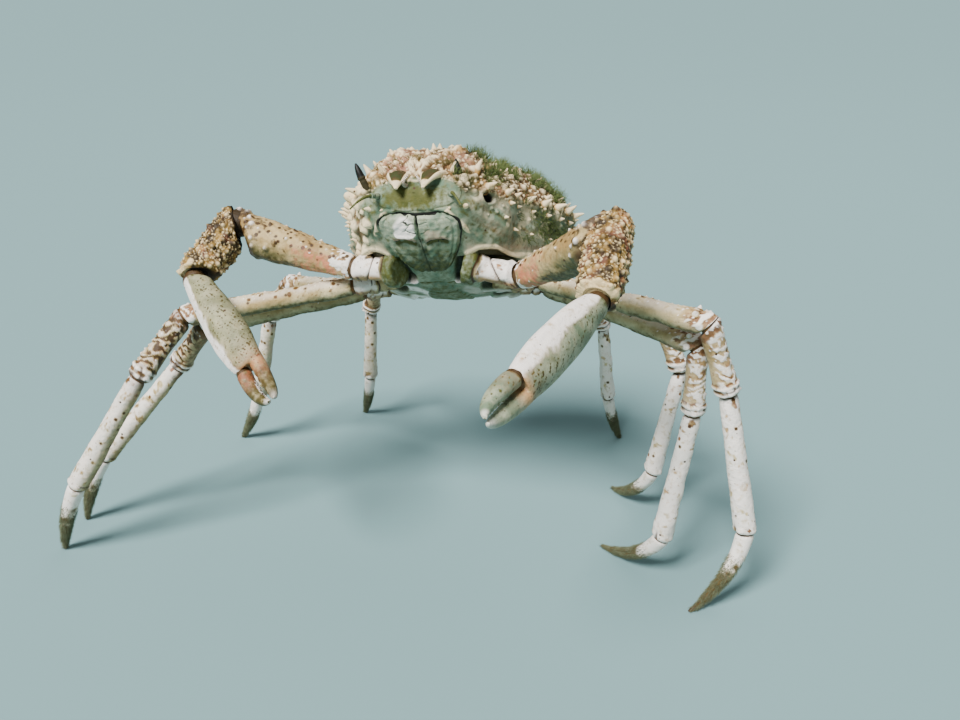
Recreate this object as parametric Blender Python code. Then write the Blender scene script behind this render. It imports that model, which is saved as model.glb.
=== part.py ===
"""Great spider crab (Leptomithrax gaimardii), adult male, as a still life-size model.

The crab faces -Y and stands on the floor z = 0 on its eight walking legs, body reared up and both claws
held out in front. Sizes are in millimetres and angles in degrees until MM turns them into Blender's metres.
"""

import math
import random

import bmesh
import bpy
from mathutils import Matrix, Vector

MM = 0.001
GAP = 0.3  # clearance that touching nodes keep
HALF_GAP = GAP / 2

# ---------------------------------------------------------------- driving sizes of the body
BODY_CENTRE = (25.5, 39.0, 216.0)
BODY_YAW = -3.0  # turned towards the right claw
BODY_PITCH = 29.0  # nose up
BODY_ROLL = 6.5  # left side up
FRONT_Y, HIND_Y = -66.0, 75.0  # ends of the shell without the horns
BODY_RINGS, BODY_SIDES = 23, 32
DORSAL_POWER, VENTRAL_POWER = 2.0, 2.35  # roundness of the back and of the underside

# Cross-sections of the shell: y, half width, top, side edge, bottom.
BODY_SECTIONS = (
    (-66, 27, 11, 3, -6),
    (-61, 34, 20, 3, -13),
    (-50, 39, 27, 4, -22),
    (-38, 47, 32, 4, -29.5),
    (-24, 51, 34, 4, -36),
    (-6, 61, 37, 4, -41),
    (14, 69, 39, 5, -43),
    (34, 72, 37, 5, -40),
    (52, 64, 30, 5, -34),
    (66, 45, 18, 3, -23),
    (75, 19, 5, -3, -11),
)
# Swellings and furrows of the back: x (mirrored), y, height, spread across, spread along.
REGIONS = (
    (0, -22, 5.0, 13, 15),  # gastric
    (0, 23, 4.0, 11, 12),  # cardiac
    (0, 52, 3.0, 9, 8),  # intestinal
    (36, 20, 4.5, 15, 22),  # branchial
    (34, -37, 3.0, 8, 8),  # hepatic
    (19, -43, 6.0, 12, 11),  # brow over the eyes
    (30, -14, -4.0, 9, 9),  # cervical furrow
    (19, 6, -2.5, 6, 16),  # furrow between heart and gills
)

# Plane that parts carapace and sternum.
SPLIT_FRONT_Y, SPLIT_FRONT_Z = -34.0, -28.0  # a point of it at the front
SPLIT_SLOPE = 0.163  # its rise towards the back

# ---------------------------------------------------------------- forms of the shell and the head
HORN = ((0, 1.0), (0.3, 0.98), (0.6, 0.78), (0.85, 0.42), (1, 0.12))
HORN_RADIUS, HORN_FLAT = 4.6, 1.5
HORN_PATH = ((10, -53, 13), (10.5, -71, 17), (7.5, -77, 3))
# Foot, way, length and half thickness of the spines round each eye, on the left side.
ORBIT_SPINES = (
    ((20, -60, 16), (0.3, -0.75, 0.5), 8, 3.8),
    ((31, -53, 18), (0.5, -0.35, 0.75), 8, 3.4),
    ((37, -53, 8), (0.8, -0.6, 0.15), 10, 5.0),
    ((27, -61, -4), (0.5, -0.85, -0.1), 6, 3.2),
    ((19, -63, -5), (0.2, -0.95, -0.3), 4.5, 2.4),
)
# Station and length of the spines of the side margins and of the middle line of the back.
MARGIN_SPINES = (
    (-40, 8.5), (-31, 6.5), (-18, 8.0), (-6, 9.0), (7, 9.5), (20, 9.5), (33, 9.0), (46, 8.0), (58, 6.0),
)
# Station, angle from the top and length of the cheeks' spines.
CHEEK_SPINES = ((-40, 104, 4.5), (-28, 108, 4.0), (-14, 106, 3.6), (2, 105, 3.2), (20, 104, 3.2))
MIDLINE_SPINES = (
    (-44, 4.5), (-32, 5.5), (-20, 6.0), (-6, 4.5), (14, 5.5), (26, 6.0), (42, 4.5), (54, 6.0), (70, 5.0),
)
TUBERCLE_ROWS = (-49, -38, -27, -16, -5, 7, 19, 31, 43, 54, 64)
TUBERCLE_PITCH = 15.0

# Outlines seen square on: x across the left half, y from the front edge backwards.
MAXILLIPED = (
    (0.25, 1.5), (9, 0.3), (18, 1), (23.2, 4.5), (23.5, 11),
    (21.5, 20), (18, 29), (14, 37), (8.5, 43), (0.25, 45),
)
MOUTH_START, MOUTH_END = Vector((0, -65, -8)), Vector((0, -24, -36))
MAXILLIPED_SINK, MAXILLIPED_PROUD = 5.0, 2.6
ABDOMEN = ((9.5, 0), (11.5, 9), (10.5, 20), (13.5, 31), (15, 42), (12.5, 56), (8.5, 66), (4.5, 72))
ABDOMEN_LENGTH = 72.0
ABDOMEN_FRONT, ABDOMEN_HIND = Vector((0, -16, -41.5)), Vector((0, 56, -33.0))
ABDOMEN_SINK, ABDOMEN_PROUD = 4.0, 2.2

# Eyes and antennae: corners of each one's curve, in the body's frame.
EYE_OUTLINE = ((0, 1.0), (0.3, 0.9), (0.5, 0.96), (0.7, 0.88), (0.9, 0.55), (1, 0.22))
EYE_RADIUS = 2.8
EYES = {
    "left": ((23, -58, 7), (24, -63, 13), (21.5, -65, 24)),
    "right": ((-30, -58, 7), (-33, -63, 13), (-37, -65, 24)),
}
PEDUNCLE = ((0, 1.0), (0.45, 1.0), (0.55, 0.7), (1, 0.62))
WHIP = ((0, 1.0), (0.5, 0.75), (1, 0.45))
PEDUNCLE_RADIUS, WHIP_RADIUS = 2.4, 0.9
PEDUNCLE_PATH = ((19, -60, 1.5), (21, -69, 2.0), (23, -74, 0.5))
WHIP_PATH = ((22.7, -73, 0.8), (26, -80, -1), (31, -84, -9))

# ---------------------------------------------------------------- limbs
# Root of each limb on the left side of the body, in the body's frame.
ROOTS = {
    "cheliped": (26, -29, -32),
    "leg_1": (36, -4, -35),
    "leg_2": (37, 17, -34),
    "leg_3": (36, 36, -31),
    "leg_4": (30, 53, -27),
}
# Lengths of ischium (with coxa), merus, carpus, propodus and dactylus.
LENGTHS = {
    "cheliped": (26, 84, 46, 73, 30),
    "leg_1": (22, 107, 47, 90, 60),
    "leg_2": (21, 104, 45, 86, 56),
    "leg_3": (19, 88, 40, 74, 52),
    "leg_4": (18, 74, 35, 64, 48),
}
# Half thickness of a walking leg's merus; its other segments follow from it.
LEG_RADIUS = {"leg_1": 6.3, "leg_2": 6.0, "leg_3": 5.6, "leg_4": 5.1}

# Stance: heading and rise of ischium, merus, carpus and propodus, then the dactylus's heading.
# Heading 0 is straight ahead (-Y) and +90 is the crab's left (+X).
STANCE = {
    "leg_left_1": ((111, -5.5), (73, -3.5), (109, -70.5), (70, -77), -57.5),
    "leg_left_2": ((112, -9), (70.5, -9), (88, -89), (-54, -80.5), -126.5),
    "leg_left_3": ((132, -5), (107.5, -22), (109.5, -66), (-31, -70.5), -135.5),
    "leg_left_4": ((110.5, -9), (157.5, -25), (145.5, -56), (150.5, -79.5), 149.5),
    "leg_right_1": ((-81, -10), (-73.5, -9.5), (-36.5, -42.5), (-73.5, -57), -104),
    "leg_right_2": ((-72, -11), (-71.5, -11), (-106.5, -50), (-67, -48.5), -87),
    "leg_right_3": ((-89.5, -11.5), (-112.5, -10.5), (-114.5, -53), (-114.5, -73), -113.5),
    "leg_right_4": ((-121, -9), (-143.5, -21), (-145, -55.5), (-145, -79.5), -145),
}
# Claw arms: heading and rise of ischium, merus, carpus, palm and fingers.
REACH = {
    "cheliped_left": ((95.5, -9.5), (50, 32.5), (-1, -31), (-22, -13.5), (-14, -3)),
    "cheliped_right": ((-106.5, -9), (-100, 12.5), (-20, -30.5), (53.5, -32.5), (46, -14)),
}
# Way that the movable finger's side of each palm faces.
PALM_BACK = {"cheliped_left": (-0.35, -0.1, 0.93), "cheliped_right": (-0.9, 0.0, -0.15)}

LEG_SIDES, CLAW_SIDES = 10, 14

# Outlines of the segments: share of the length, share of the half thickness.
ISCHIUM = ((0, 0.92), (0.35, 1.0), (0.85, 1.03), (1, 0.93))
# A claw's starts with its stout coxa.
CLAW_ISCHIUM = (
    (0, 1.15), (0.08, 1.5), (0.16, 1.58), (0.24, 1.38), (0.31, 1.04), (0.6, 1.0), (0.86, 1.03), (1, 0.93),
)
# Outline, depth of the root in its socket and rings of a limb's first segment.
LIMB_BASES = {"claw": (CLAW_ISCHIUM, 7.5, 9), "shell": (ISCHIUM, 5.0, 5)}
MERUS = ((0, 0.88), (0.08, 0.97), (0.35, 0.95), (0.7, 1.0), (0.92, 1.12), (1, 1.02))
CARPUS = ((0, 0.98), (0.15, 1.04), (0.5, 0.98), (0.82, 1.12), (1, 1.0))
PROPODUS = ((0, 0.88), (0.1, 0.93), (0.5, 1.0), (0.86, 1.12), (0.96, 1.12), (1, 1.0))
DACTYLUS = ((0, 0.95), (0.06, 1.0), (0.4, 0.82), (0.75, 0.52), (0.93, 0.3), (1, 0.22))
CLAW_MERUS = ((0, 0.6), (0.1, 0.63), (0.4, 0.82), (0.75, 1.0), (0.92, 0.98), (1, 0.8))
CLAW_CARPUS = ((0, 0.92), (0.15, 1.04), (0.5, 1.08), (0.8, 0.96), (1, 0.7))
# Palm: share of the length, half height, half thickness.
PALM = (
    (0, 6.6, 6.0), (0.1, 7.9, 6.8), (0.35, 10.6, 8.0), (0.65, 11.8, 8.3), (0.85, 10.6, 7.8), (1, 9.0, 6.8),
)
FINGER = ((0, 1.0), (0.3, 0.86), (0.7, 0.55), (0.92, 0.28), (1, 0.14))
CLAW_ISCHIUM_RADIUS, CLAW_MERUS_RADIUS, CLAW_CARPUS_RADIUS = 7.2, 12.6, 10.6
FINGER_RADIUS = 4.8
MERUS_SAG = 5.0  # how far the arm's far end hangs below its joint

# Blunt spines over each knee: place along the merus, angles from its top, length and half thickness.
KNEE_PLACE, KNEE_ANGLES = 0.9, (-0.55, 0.55)
KNEE_LENGTH, KNEE_RADIUS = 2.6, 2.1
# Tubercles of the claw arms: count, first and last place along, length, half thickness, share of the girth.
ARM_STUDS = (16, 0.25, 0.86, 3.0, 2.0, 0.6)
WRIST_STUDS = (29, 0.22, 0.82, 2.6, 1.9, 1.0)

# ---------------------------------------------------------------- materials
COLOURS = {
    "carapace": ((0.62, 0.52, 0.36), 0.7),
    "shell": ((0.80, 0.76, 0.66), 0.5),
    "claw": ((0.85, 0.80, 0.74), 0.4),
    "dactyl": ((0.42, 0.36, 0.26), 0.8),
    "underside": ((0.60, 0.62, 0.52), 0.55),
    "mouth": ((0.70, 0.66, 0.54), 0.5),
    "eye": ((0.03, 0.04, 0.03), 0.2),
}


def clear_scene():
    for obj in list(bpy.data.objects):
        bpy.data.objects.remove(obj)


def material(slot):
    found = bpy.data.materials.get(slot)
    if found:
        return found
    made = bpy.data.materials.new(slot)
    made.use_nodes = True
    colour, roughness = COLOURS[slot]
    shader = made.node_tree.nodes["Principled BSDF"]
    shader.inputs["Base Color"].default_value = (*colour, 1.0)
    shader.inputs["Roughness"].default_value = roughness
    made.diffuse_color = (*colour, 1.0)
    return made


# ---------------------------------------------------------------- curves and directions
def along(table, t):
    """Values of a table of (t, value, ...) rows at t, on a smooth curve through the rows."""
    last = len(table) - 1
    k = max(i for i in range(last) if i == 0 or table[i][0] <= t)
    rows = [table[min(max(i, 0), last)] for i in (k - 1, k, k + 1, k + 2)]
    span = rows[2][0] - rows[1][0]
    s = min(max((t - rows[1][0]) / span, 0.0), 1.0)
    values = []
    for c in range(1, len(table[0])):
        low, high = rows[1][c], rows[2][c]
        rise_low = (high - rows[0][c]) / (rows[2][0] - rows[0][0]) * span
        rise_high = (rows[3][c] - low) / (rows[3][0] - rows[1][0]) * span
        values.append(
            (2 * s**3 - 3 * s**2 + 1) * low
            + (s**3 - 2 * s**2 + s) * rise_low
            + (3 * s**2 - 2 * s**3) * high
            + (s**3 - s**2) * rise_high
        )
    return values


def heading(azimuth, rise):
    """Unit vector for a heading (0 is -Y, 90 is +X) and a rise above the horizon."""
    a, e = math.radians(azimuth), math.radians(rise)
    return Vector((math.sin(a) * math.cos(e), -math.cos(a) * math.cos(e), math.sin(e)))


def body_frame():
    pitch = Matrix.Rotation(math.radians(-BODY_PITCH), 4, "X")
    roll = Matrix.Rotation(math.radians(-BODY_ROLL), 4, "Y")
    yaw = Matrix.Rotation(math.radians(BODY_YAW), 4, "Z")
    return Matrix.Translation(BODY_CENTRE) @ yaw @ pitch @ roll


# ---------------------------------------------------------------- meshes
def new_object(name, points, faces, slot, location=(0, 0, 0)):
    """A closed mesh object from points in millimetres."""
    mesh = bpy.data.meshes.new(name)
    mesh.from_pydata([Vector(p) * MM for p in points], [], faces)
    shell = bmesh.new()
    shell.from_mesh(mesh)
    bmesh.ops.recalc_face_normals(shell, faces=shell.faces)
    if shell.calc_volume(signed=True) < 0:
        bmesh.ops.reverse_faces(shell, faces=shell.faces)
    shell.to_mesh(mesh)
    shell.free()
    obj = bpy.data.objects.new(name, mesh)
    obj.location = Vector(location) * MM
    mesh.materials.append(material(slot))
    bpy.context.scene.collection.objects.link(obj)
    return obj


def smooth(obj, angle=50):
    obj.data.shade_smooth()
    obj.data.set_sharp_from_angle(angle=math.radians(angle))
    return obj


def ring_faces(rings, sides):
    """Side faces of a stack of rings, and the two caps."""
    faces = []
    for r in range(rings - 1):
        for s in range(sides):
            a, b = r * sides + s, r * sides + (s + 1) % sides
            faces.append((a, b, b + sides, a + sides))
    faces.append(tuple(reversed(range(sides))))
    faces.append(tuple(range((rings - 1) * sides, rings * sides)))
    return faces


def applied(obj):
    """Replaces the object's mesh by what its modifiers make of it."""
    graph = bpy.context.evaluated_depsgraph_get()
    mesh = bpy.data.meshes.new_from_object(obj.evaluated_get(graph))
    obj.modifiers.clear()
    obj.data = mesh
    return obj


def keep_largest(obj):
    """Drops every closed surface but the largest, such as a scrap or a sealed hollow."""
    shell = bmesh.new()
    shell.from_mesh(obj.data)
    left, surfaces = set(shell.faces), []
    while left:
        grown, front = set(), [next(iter(left))]
        while front:
            face = front.pop()
            if face in left:
                left.remove(face)
                grown.add(face)
                front.extend(f for e in face.edges for f in e.link_faces if f in left)
        surfaces.append(grown)
    surfaces.sort(key=lambda s: sum(f.calc_area() for f in s))
    loose = [f for s in surfaces[:-1] for f in s]
    bmesh.ops.delete(shell, geom=loose, context="FACES")
    shell.to_mesh(obj.data)
    shell.free()


def combine(obj, others, operation="UNION", solver="EXACT"):
    """One Boolean of obj with a collection of closed meshes, applied; the others are removed."""
    if not others:
        return obj
    group = bpy.data.collections.new("pieces")
    bpy.context.scene.collection.children.link(group)
    for other in others:
        group.objects.link(other)
    boolean = obj.modifiers.new("combine", "BOOLEAN")
    boolean.operation, boolean.solver = operation, solver
    boolean.operand_type, boolean.collection = "COLLECTION", group
    bpy.context.view_layer.update()
    applied(obj)
    keep_largest(obj)
    for other in list(group.objects):
        bpy.data.objects.remove(other)
    bpy.data.collections.remove(group)
    return obj


def block(low, high, frame):
    """A cutting box between two corners, in a frame."""
    xs, ys, zs = zip(low, high)
    corners = [frame @ Vector((x, y, z)) for z in zs for y in ys for x in xs]
    faces = [(0, 2, 3, 1), (4, 5, 7, 6), (0, 1, 5, 4), (2, 6, 7, 3), (0, 4, 6, 2), (1, 3, 7, 5)]
    return new_object("cut", corners, faces, "underside")


def prism(name, outline, low, high, frame, slot):
    """A flat outline of (x, y) points carried from low to high along the frame's z."""
    points = [frame @ Vector((x, y, z)) for z in (low, high) for x, y in outline]
    return new_object(name, points, ring_faces(2, len(outline)), slot)


class Tube:
    """A limb segment: rings of ellipses along a path, its two ends lying in given planes."""

    def __init__(
        self, path, section, up, start_normal, end_normal, start_gap=HALF_GAP, end_gap=HALF_GAP, ends=None
    ):
        self.path, self.section, self.up = path, section, Vector(up)
        self.start_normal, self.end_normal = Vector(start_normal), Vector(end_normal)
        start, end = ends or (path(0.0), path(1.0))
        self.start = start + self.start_normal * start_gap
        self.end = end - self.end_normal * end_gap
        self.length = sum((path((i + 1) / 20) - path(i / 20)).length for i in range(20))
        self.start_reach = self.reach(0.0, self.start_normal)
        self.end_reach = self.reach(1.0, self.end_normal)

    def reach(self, t, normal):
        """Share of the length over which an end leans onto its plane: more for a steep plane."""
        way = self.axes(t)[0]
        thick = max(self.section(t))
        steep = thick * way.cross(normal).length / max(way.dot(normal), 0.2)
        return min(0.85, (0.8 * thick + 2.2 * steep) / self.length)

    def axes(self, t):
        step = 0.01
        tangent = (self.path(min(t + step, 1)) - self.path(max(t - step, 0))).normalized()
        back = (self.up - tangent * self.up.dot(tangent)).normalized()
        return tangent, back, tangent.cross(back)

    def point(self, t, angle, grow=0.0):
        """Surface point; near the ends it slides along the segment onto the end plane."""
        tangent, back, side = self.axes(t)
        high, wide = self.section(t)
        offset = back * (high + grow) * math.cos(angle) + side * (wide + grow) * math.sin(angle)
        point = self.path(t) + offset
        for far, reach, origin, normal in (
            (t, self.start_reach, self.start, self.start_normal),
            (1 - t, self.end_reach, self.end, -self.end_normal),
        ):
            share = max(1 - far / reach, 0)
            gap = (point - origin).dot(normal)
            lean = -gap * share**2 * (3 - 2 * share)
            lean = max(lean, 0.12 * far * self.length - gap)
            if share > 0:
                point += tangent * lean / tangent.dot(normal)
        return point

    def normal(self, t, angle):
        step = 0.02
        across = self.point(t, angle + step) - self.point(t, angle - step)
        down = self.point(min(t + step, 1), angle) - self.point(max(t - step, 0), angle)
        normal = across.cross(down).normalized()
        return normal if normal.dot(self.point(t, angle) - self.path(t)) > 0 else -normal

    def end_distance(self, point):
        """Distance of a point from the nearer end plane."""
        return min((point - self.start).dot(self.start_normal), (self.end - point).dot(self.end_normal))

    def build(self, name, slot, sides, rings, origin=None, grow=0.0):
        origin = self.path(0.0) if origin is None else Vector(origin)
        points = [
            self.point(r / (rings - 1), 2 * math.pi * s / sides, grow) - origin
            for r in range(rings)
            for s in range(sides)
        ]
        return smooth(new_object(name, points, ring_faces(rings, sides), slot, origin))


def straight(start, end):
    return lambda t: start.lerp(end, t)


def bent(start, middle, end):
    """A quadratic curve."""
    return lambda t: start * (1 - t) ** 2 + middle * 2 * t * (1 - t) + end * t**2


def scaled(outline, radius, flat=1.0):
    """Section of a segment whose half thickness follows an outline."""

    def section(t):
        share = along(outline, t)[0]
        return share * radius, share * radius * flat

    return section


def spine(base, direction, length, radius, sides=5, sink=2.0, slot="carapace"):
    """A tapered spine with its root sunk into what it grows from."""
    axis = direction.normalized()
    across = axis.orthogonal().normalized()
    side = axis.cross(across)
    foot = base - axis * sink
    tip = base + axis * length
    levels = ((foot, 1.05), (base.lerp(tip, 0.5), 0.6))
    points = []
    for centre, share in levels:
        for s in range(sides):
            a = 2 * math.pi * s / sides
            points.append(centre + (across * math.cos(a) + side * math.sin(a)) * radius * share)
    points.append(tip)
    faces = ring_faces(len(levels), sides)[:-1]
    top = (len(levels) - 1) * sides
    faces += [(top + s, top + (s + 1) % sides, len(points) - 1) for s in range(sides)]
    return new_object("spine", points, faces, slot)


# ---------------------------------------------------------------- body
def region_height(x, y):
    return sum(
        h * math.exp(-(((abs(x) - rx) / sx) ** 2) - ((y - ry) / sy) ** 2) for rx, ry, h, sx, sy in REGIONS
    )


def body_point(y, angle, grow=0.0):
    """Point of the shell at station y; angle 0 is the top and 90 degrees the left edge."""
    half, top, edge, bottom = along(BODY_SECTIONS, y)
    sine, cosine = math.sin(angle), math.cos(angle)
    power = 2 / (DORSAL_POWER if cosine > 0 else VENTRAL_POWER)
    x = (half + grow) * math.copysign(abs(sine) ** power, sine)
    rise = (top - edge + grow) if cosine > 0 else (edge - bottom + grow)
    z = edge + rise * math.copysign(abs(cosine) ** power, cosine)
    if cosine > 0:
        z += region_height(x, y) * cosine
    return Vector((x, y, z))


def body_normal(y, angle):
    step_y, step_a = 1.0, 0.03
    low, high = max(y - step_y, FRONT_Y), min(y + step_y, HIND_Y)
    lengthwise = body_point(high, angle) - body_point(low, angle)
    across = body_point(y, angle + step_a) - body_point(y, angle - step_a)
    normal = across.cross(lengthwise).normalized()
    outward = body_point(y, angle) - Vector((0, y, 0))
    return normal if normal.dot(outward) > 0 else -normal


def body_shell(name, slot, grow=0.0):
    """The whole trunk as one closed mesh in the body's frame, its ends rounded off."""
    points, frame = [], body_frame()
    for r in range(BODY_RINGS):
        share = r / (BODY_RINGS - 1)
        y = FRONT_Y + (HIND_Y - FRONT_Y) * (share - math.sin(2 * math.pi * share) / 12)
        for s in range(BODY_SIDES):
            p = body_point(y, 2 * math.pi * s / BODY_SIDES, grow)
            p.y += grow * (2 * share - 1)
            points.append(frame @ p)
    return smooth(new_object(name, points, ring_faces(BODY_RINGS, BODY_SIDES), slot))


def dorsal_angle(x, y):
    """Angle of the back's point above x."""
    half = along(BODY_SECTIONS, y)[0]
    return math.asin(max(-0.98, min(0.98, x / half)))


def carapace_spines():
    """Horns, orbital spines, the spines of the side margins and the tubercles of the back."""
    frame = body_frame()
    turn = frame.to_3x3()
    made = []

    def grow(y, angle, length, radius, tilt=(0, 0, 0), sides=5):
        base = body_point(y, angle)
        way = body_normal(y, angle) + Vector(tilt)
        made.append(spine(frame @ base, turn @ way, length, radius, sides))

    for side in (1, -1):
        made.append(horn(frame, side))
        for foot, way, length, radius in ORBIT_SPINES:
            base = Vector((foot[0] * side, foot[1], foot[2]))
            axis = turn @ Vector((way[0] * side, way[1], way[2]))
            made.append(spine(frame @ base, axis, length, radius, sides=6, sink=5.0))
        for y, length in MARGIN_SPINES:
            grow(y, side * math.radians(82), length, 0.42 * length, tilt=(0.2 * side, -0.25, 0.1), sides=6)
        for y, angle, length in CHEEK_SPINES:
            grow(y, side * math.radians(angle), length, 0.5 * length)
    for y, length in MIDLINE_SPINES:
        grow(y, 0.0, length, 0.45 * length, sides=6)
    rng = random.Random(7)
    for y in TUBERCLE_ROWS:
        half = along(BODY_SECTIONS, y)[0]
        count = max(2, round(half * 0.8 / TUBERCLE_PITCH))
        for side in (1, -1):
            for k in range(count):
                x = side * (k + 0.75 + rng.uniform(-0.2, 0.2)) * half * 0.88 / count
                length = rng.uniform(2.4, 4.6)
                grow(y + rng.uniform(-2.5, 2.5), dorsal_angle(x, y), length, rng.uniform(1.5, 2.2))
    return made


def horn(frame, side):
    """One of the two horns of the rostrum: a flattened, slightly curved cone."""
    start, middle, end = (Vector((x * side, y, z)) for x, y, z in HORN_PATH)
    path = bent(frame @ start, frame @ middle, frame @ end)
    up = frame.to_3x3() @ Vector((0, 0, 1))
    section = scaled(HORN, HORN_RADIUS, HORN_FLAT)
    tube = Tube(path, section, up, path(0.02) - path(0), path(1) - path(0.98), 0, 0)
    return tube.build("horn", "carapace", 8, 6)


def plate_frame(front, hind):
    """Frame with x across the body, y from front to hind and z out of the underside."""
    y = (hind - front).normalized()
    x = Vector((1, 0, 0))
    z = x.cross(y)
    if z.z > 0:
        z.negate()
    turn = Matrix((x, y, z)).transposed().to_4x4()
    return Matrix.Translation(front) @ turn


def mirrored(outline):
    return [(-x, y) for x, y in reversed(outline)]


def widened(outline, gap):
    """An outline pushed outwards from its middle by about a gap."""
    cx = sum(x for x, _ in outline) / len(outline)
    cy = sum(y for _, y in outline) / len(outline)
    half_x = max(abs(x - cx) for x, _ in outline)
    half_y = max(abs(y - cy) for _, y in outline)
    return [(cx + (x - cx) * (1 + gap / half_x), cy + (y - cy) * (1 + gap / half_y)) for x, y in outline]


def maxilliped_tools():
    """Left and right outlines that part the mouth's two covers from the shell."""
    frame = body_frame() @ plate_frame(MOUTH_START, MOUTH_END)
    left = list(MAXILLIPED)
    return frame, {"left": left, "right": mirrored(left)}


def abdomen_outline():
    """Both sides of the tail flap, front end first."""
    front_first = [(x, ABDOMEN_LENGTH - y) for x, y in ABDOMEN]
    return front_first + mirrored(front_first)


def head_tube(corners, outline, radius, side=1):
    """A tube of the head on a curve through the body's frame."""
    frame = body_frame()
    path = bent(*(frame @ Vector((x * side, y, z)) for x, y, z in corners))
    up = frame.to_3x3() @ Vector((0, 0, 1))
    return Tube(path, scaled(outline, radius), up, path(0.02) - path(0), path(1) - path(0.98), 0, 0)


def build_body(limb_roots):
    """Carapace, sternum, mouth covers, tail flap, eyes and antennae."""
    frame = body_frame()
    mouth, mouth_outlines = maxilliped_tools()
    tail = frame @ plate_frame(ABDOMEN_FRONT, ABDOMEN_HIND)
    cutters = []
    for side, outline in mouth_outlines.items():
        plate = smooth(body_shell(f"maxilliped_{side}", "mouth", MAXILLIPED_PROUD))
        keep = prism("keep", outline, -MAXILLIPED_SINK, 30, mouth, "mouth")
        combine(plate, [keep], "INTERSECT")
        cutters.append(prism("cut", widened(outline, GAP), -MAXILLIPED_SINK - GAP, 30, mouth, "mouth"))
    flap = body_shell("abdomen", "underside", ABDOMEN_PROUD)
    combine(flap, [prism("keep", abdomen_outline(), -ABDOMEN_SINK, 20, tail, "underside")], "INTERSECT")
    cutters.append(prism("cut", widened(abdomen_outline(), GAP), -ABDOMEN_SINK - GAP, 20, tail, "underside"))
    for word, side in (("left", 1), ("right", -1)):
        eye = head_tube(EYES[word], EYE_OUTLINE, EYE_RADIUS)
        eye.build(f"eye_{word}", "eye", 8, 8)
        cutters.append(eye.build("cut", "eye", 8, 8, grow=GAP))
        stalk = head_tube(PEDUNCLE_PATH, PEDUNCLE, PEDUNCLE_RADIUS, side)
        whip = head_tube(WHIP_PATH, WHIP, WHIP_RADIUS, side)
        feeler = stalk.build(f"antenna_{word}", "shell", 8, 6)
        combine(feeler, [whip.build("whip", "shell", 6, 8)])
        cutters.append(stalk.build("cut", "shell", 8, 6, grow=GAP))
    cutters += limb_roots

    carapace = body_shell("carapace", "carapace")
    combine(carapace, carapace_spines())
    combine(carapace, cutters_copy(cutters), "DIFFERENCE")
    sternum = body_shell("sternum", "underside")
    combine(sternum, cutters, "DIFFERENCE")
    rise = Matrix.Rotation(math.atan(SPLIT_SLOPE), 4, "X")
    split = frame @ Matrix.Translation((0, SPLIT_FRONT_Y, SPLIT_FRONT_Z)) @ rise
    far = 200
    combine(carapace, [block((-far, -far, -far), (far, far, HALF_GAP), split)], "DIFFERENCE")
    combine(sternum, [block((-far, -far, -HALF_GAP), (far, far, far), split)], "DIFFERENCE")
    return carapace, sternum


def cutters_copy(cutters):
    made = []
    for cutter in cutters:
        copy = bpy.data.objects.new("cut", cutter.data.copy())
        copy.matrix_world = cutter.matrix_world.copy()
        copy.location = cutter.location
        bpy.context.scene.collection.objects.link(copy)
        made.append(copy)
    return made


# ---------------------------------------------------------------- limbs
def root_of(limb):
    """Root of a limb in the world and the sign of its side."""
    side = 1 if "_left" in limb else -1
    x, y, z = ROOTS[limb.replace("_left", "").replace("_right", "")]
    return body_frame() @ Vector((x * side, y, z))


def kind_of(limb):
    return limb.replace("_left", "").replace("_right", "")


def joints_of(limb):
    """Joint points of a limb from its root to its tip."""
    lengths = LENGTHS[kind_of(limb)]
    points = [root_of(limb)]
    ways = REACH[limb] if limb in REACH else STANCE[limb][:4]
    for length, way in zip(lengths, ways):
        points.append(points[-1] + heading(*way) * length)
    if limb in STANCE:
        last, length = points[-1], lengths[4]
        level = math.sqrt(length**2 - last.z**2)
        points.append(last + heading(STANCE[limb][4], 0) * level - Vector((0, 0, last.z)))
    return points


def mitre(before, after):
    """Normal of the plane that halves a bend."""
    return (before.normalized() + after.normalized()).normalized()


def build_limb_base(limb, points, radius, sides, slot, sockets):
    """Ischium with its root in the body; adds the socket's cutter to sockets."""
    outline, depth, rings = LIMB_BASES[slot]
    way = (points[1] - points[0]).normalized()
    foot = points[0] - way * depth
    up = Vector((0, 0, 1))
    section = scaled(outline, radius)
    halving = mitre(points[1] - points[0], points[2] - points[1])
    tube = Tube(straight(foot, points[1]), section, up, way, halving, 0, HALF_GAP)
    tube.build(f"{limb}_ischium", slot, sides, rings)
    cutter = Tube(straight(foot, points[1]), section, up, way, halving, -GAP, 0)
    sockets.append(cutter.build("socket", slot, sides, rings, grow=GAP))


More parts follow.
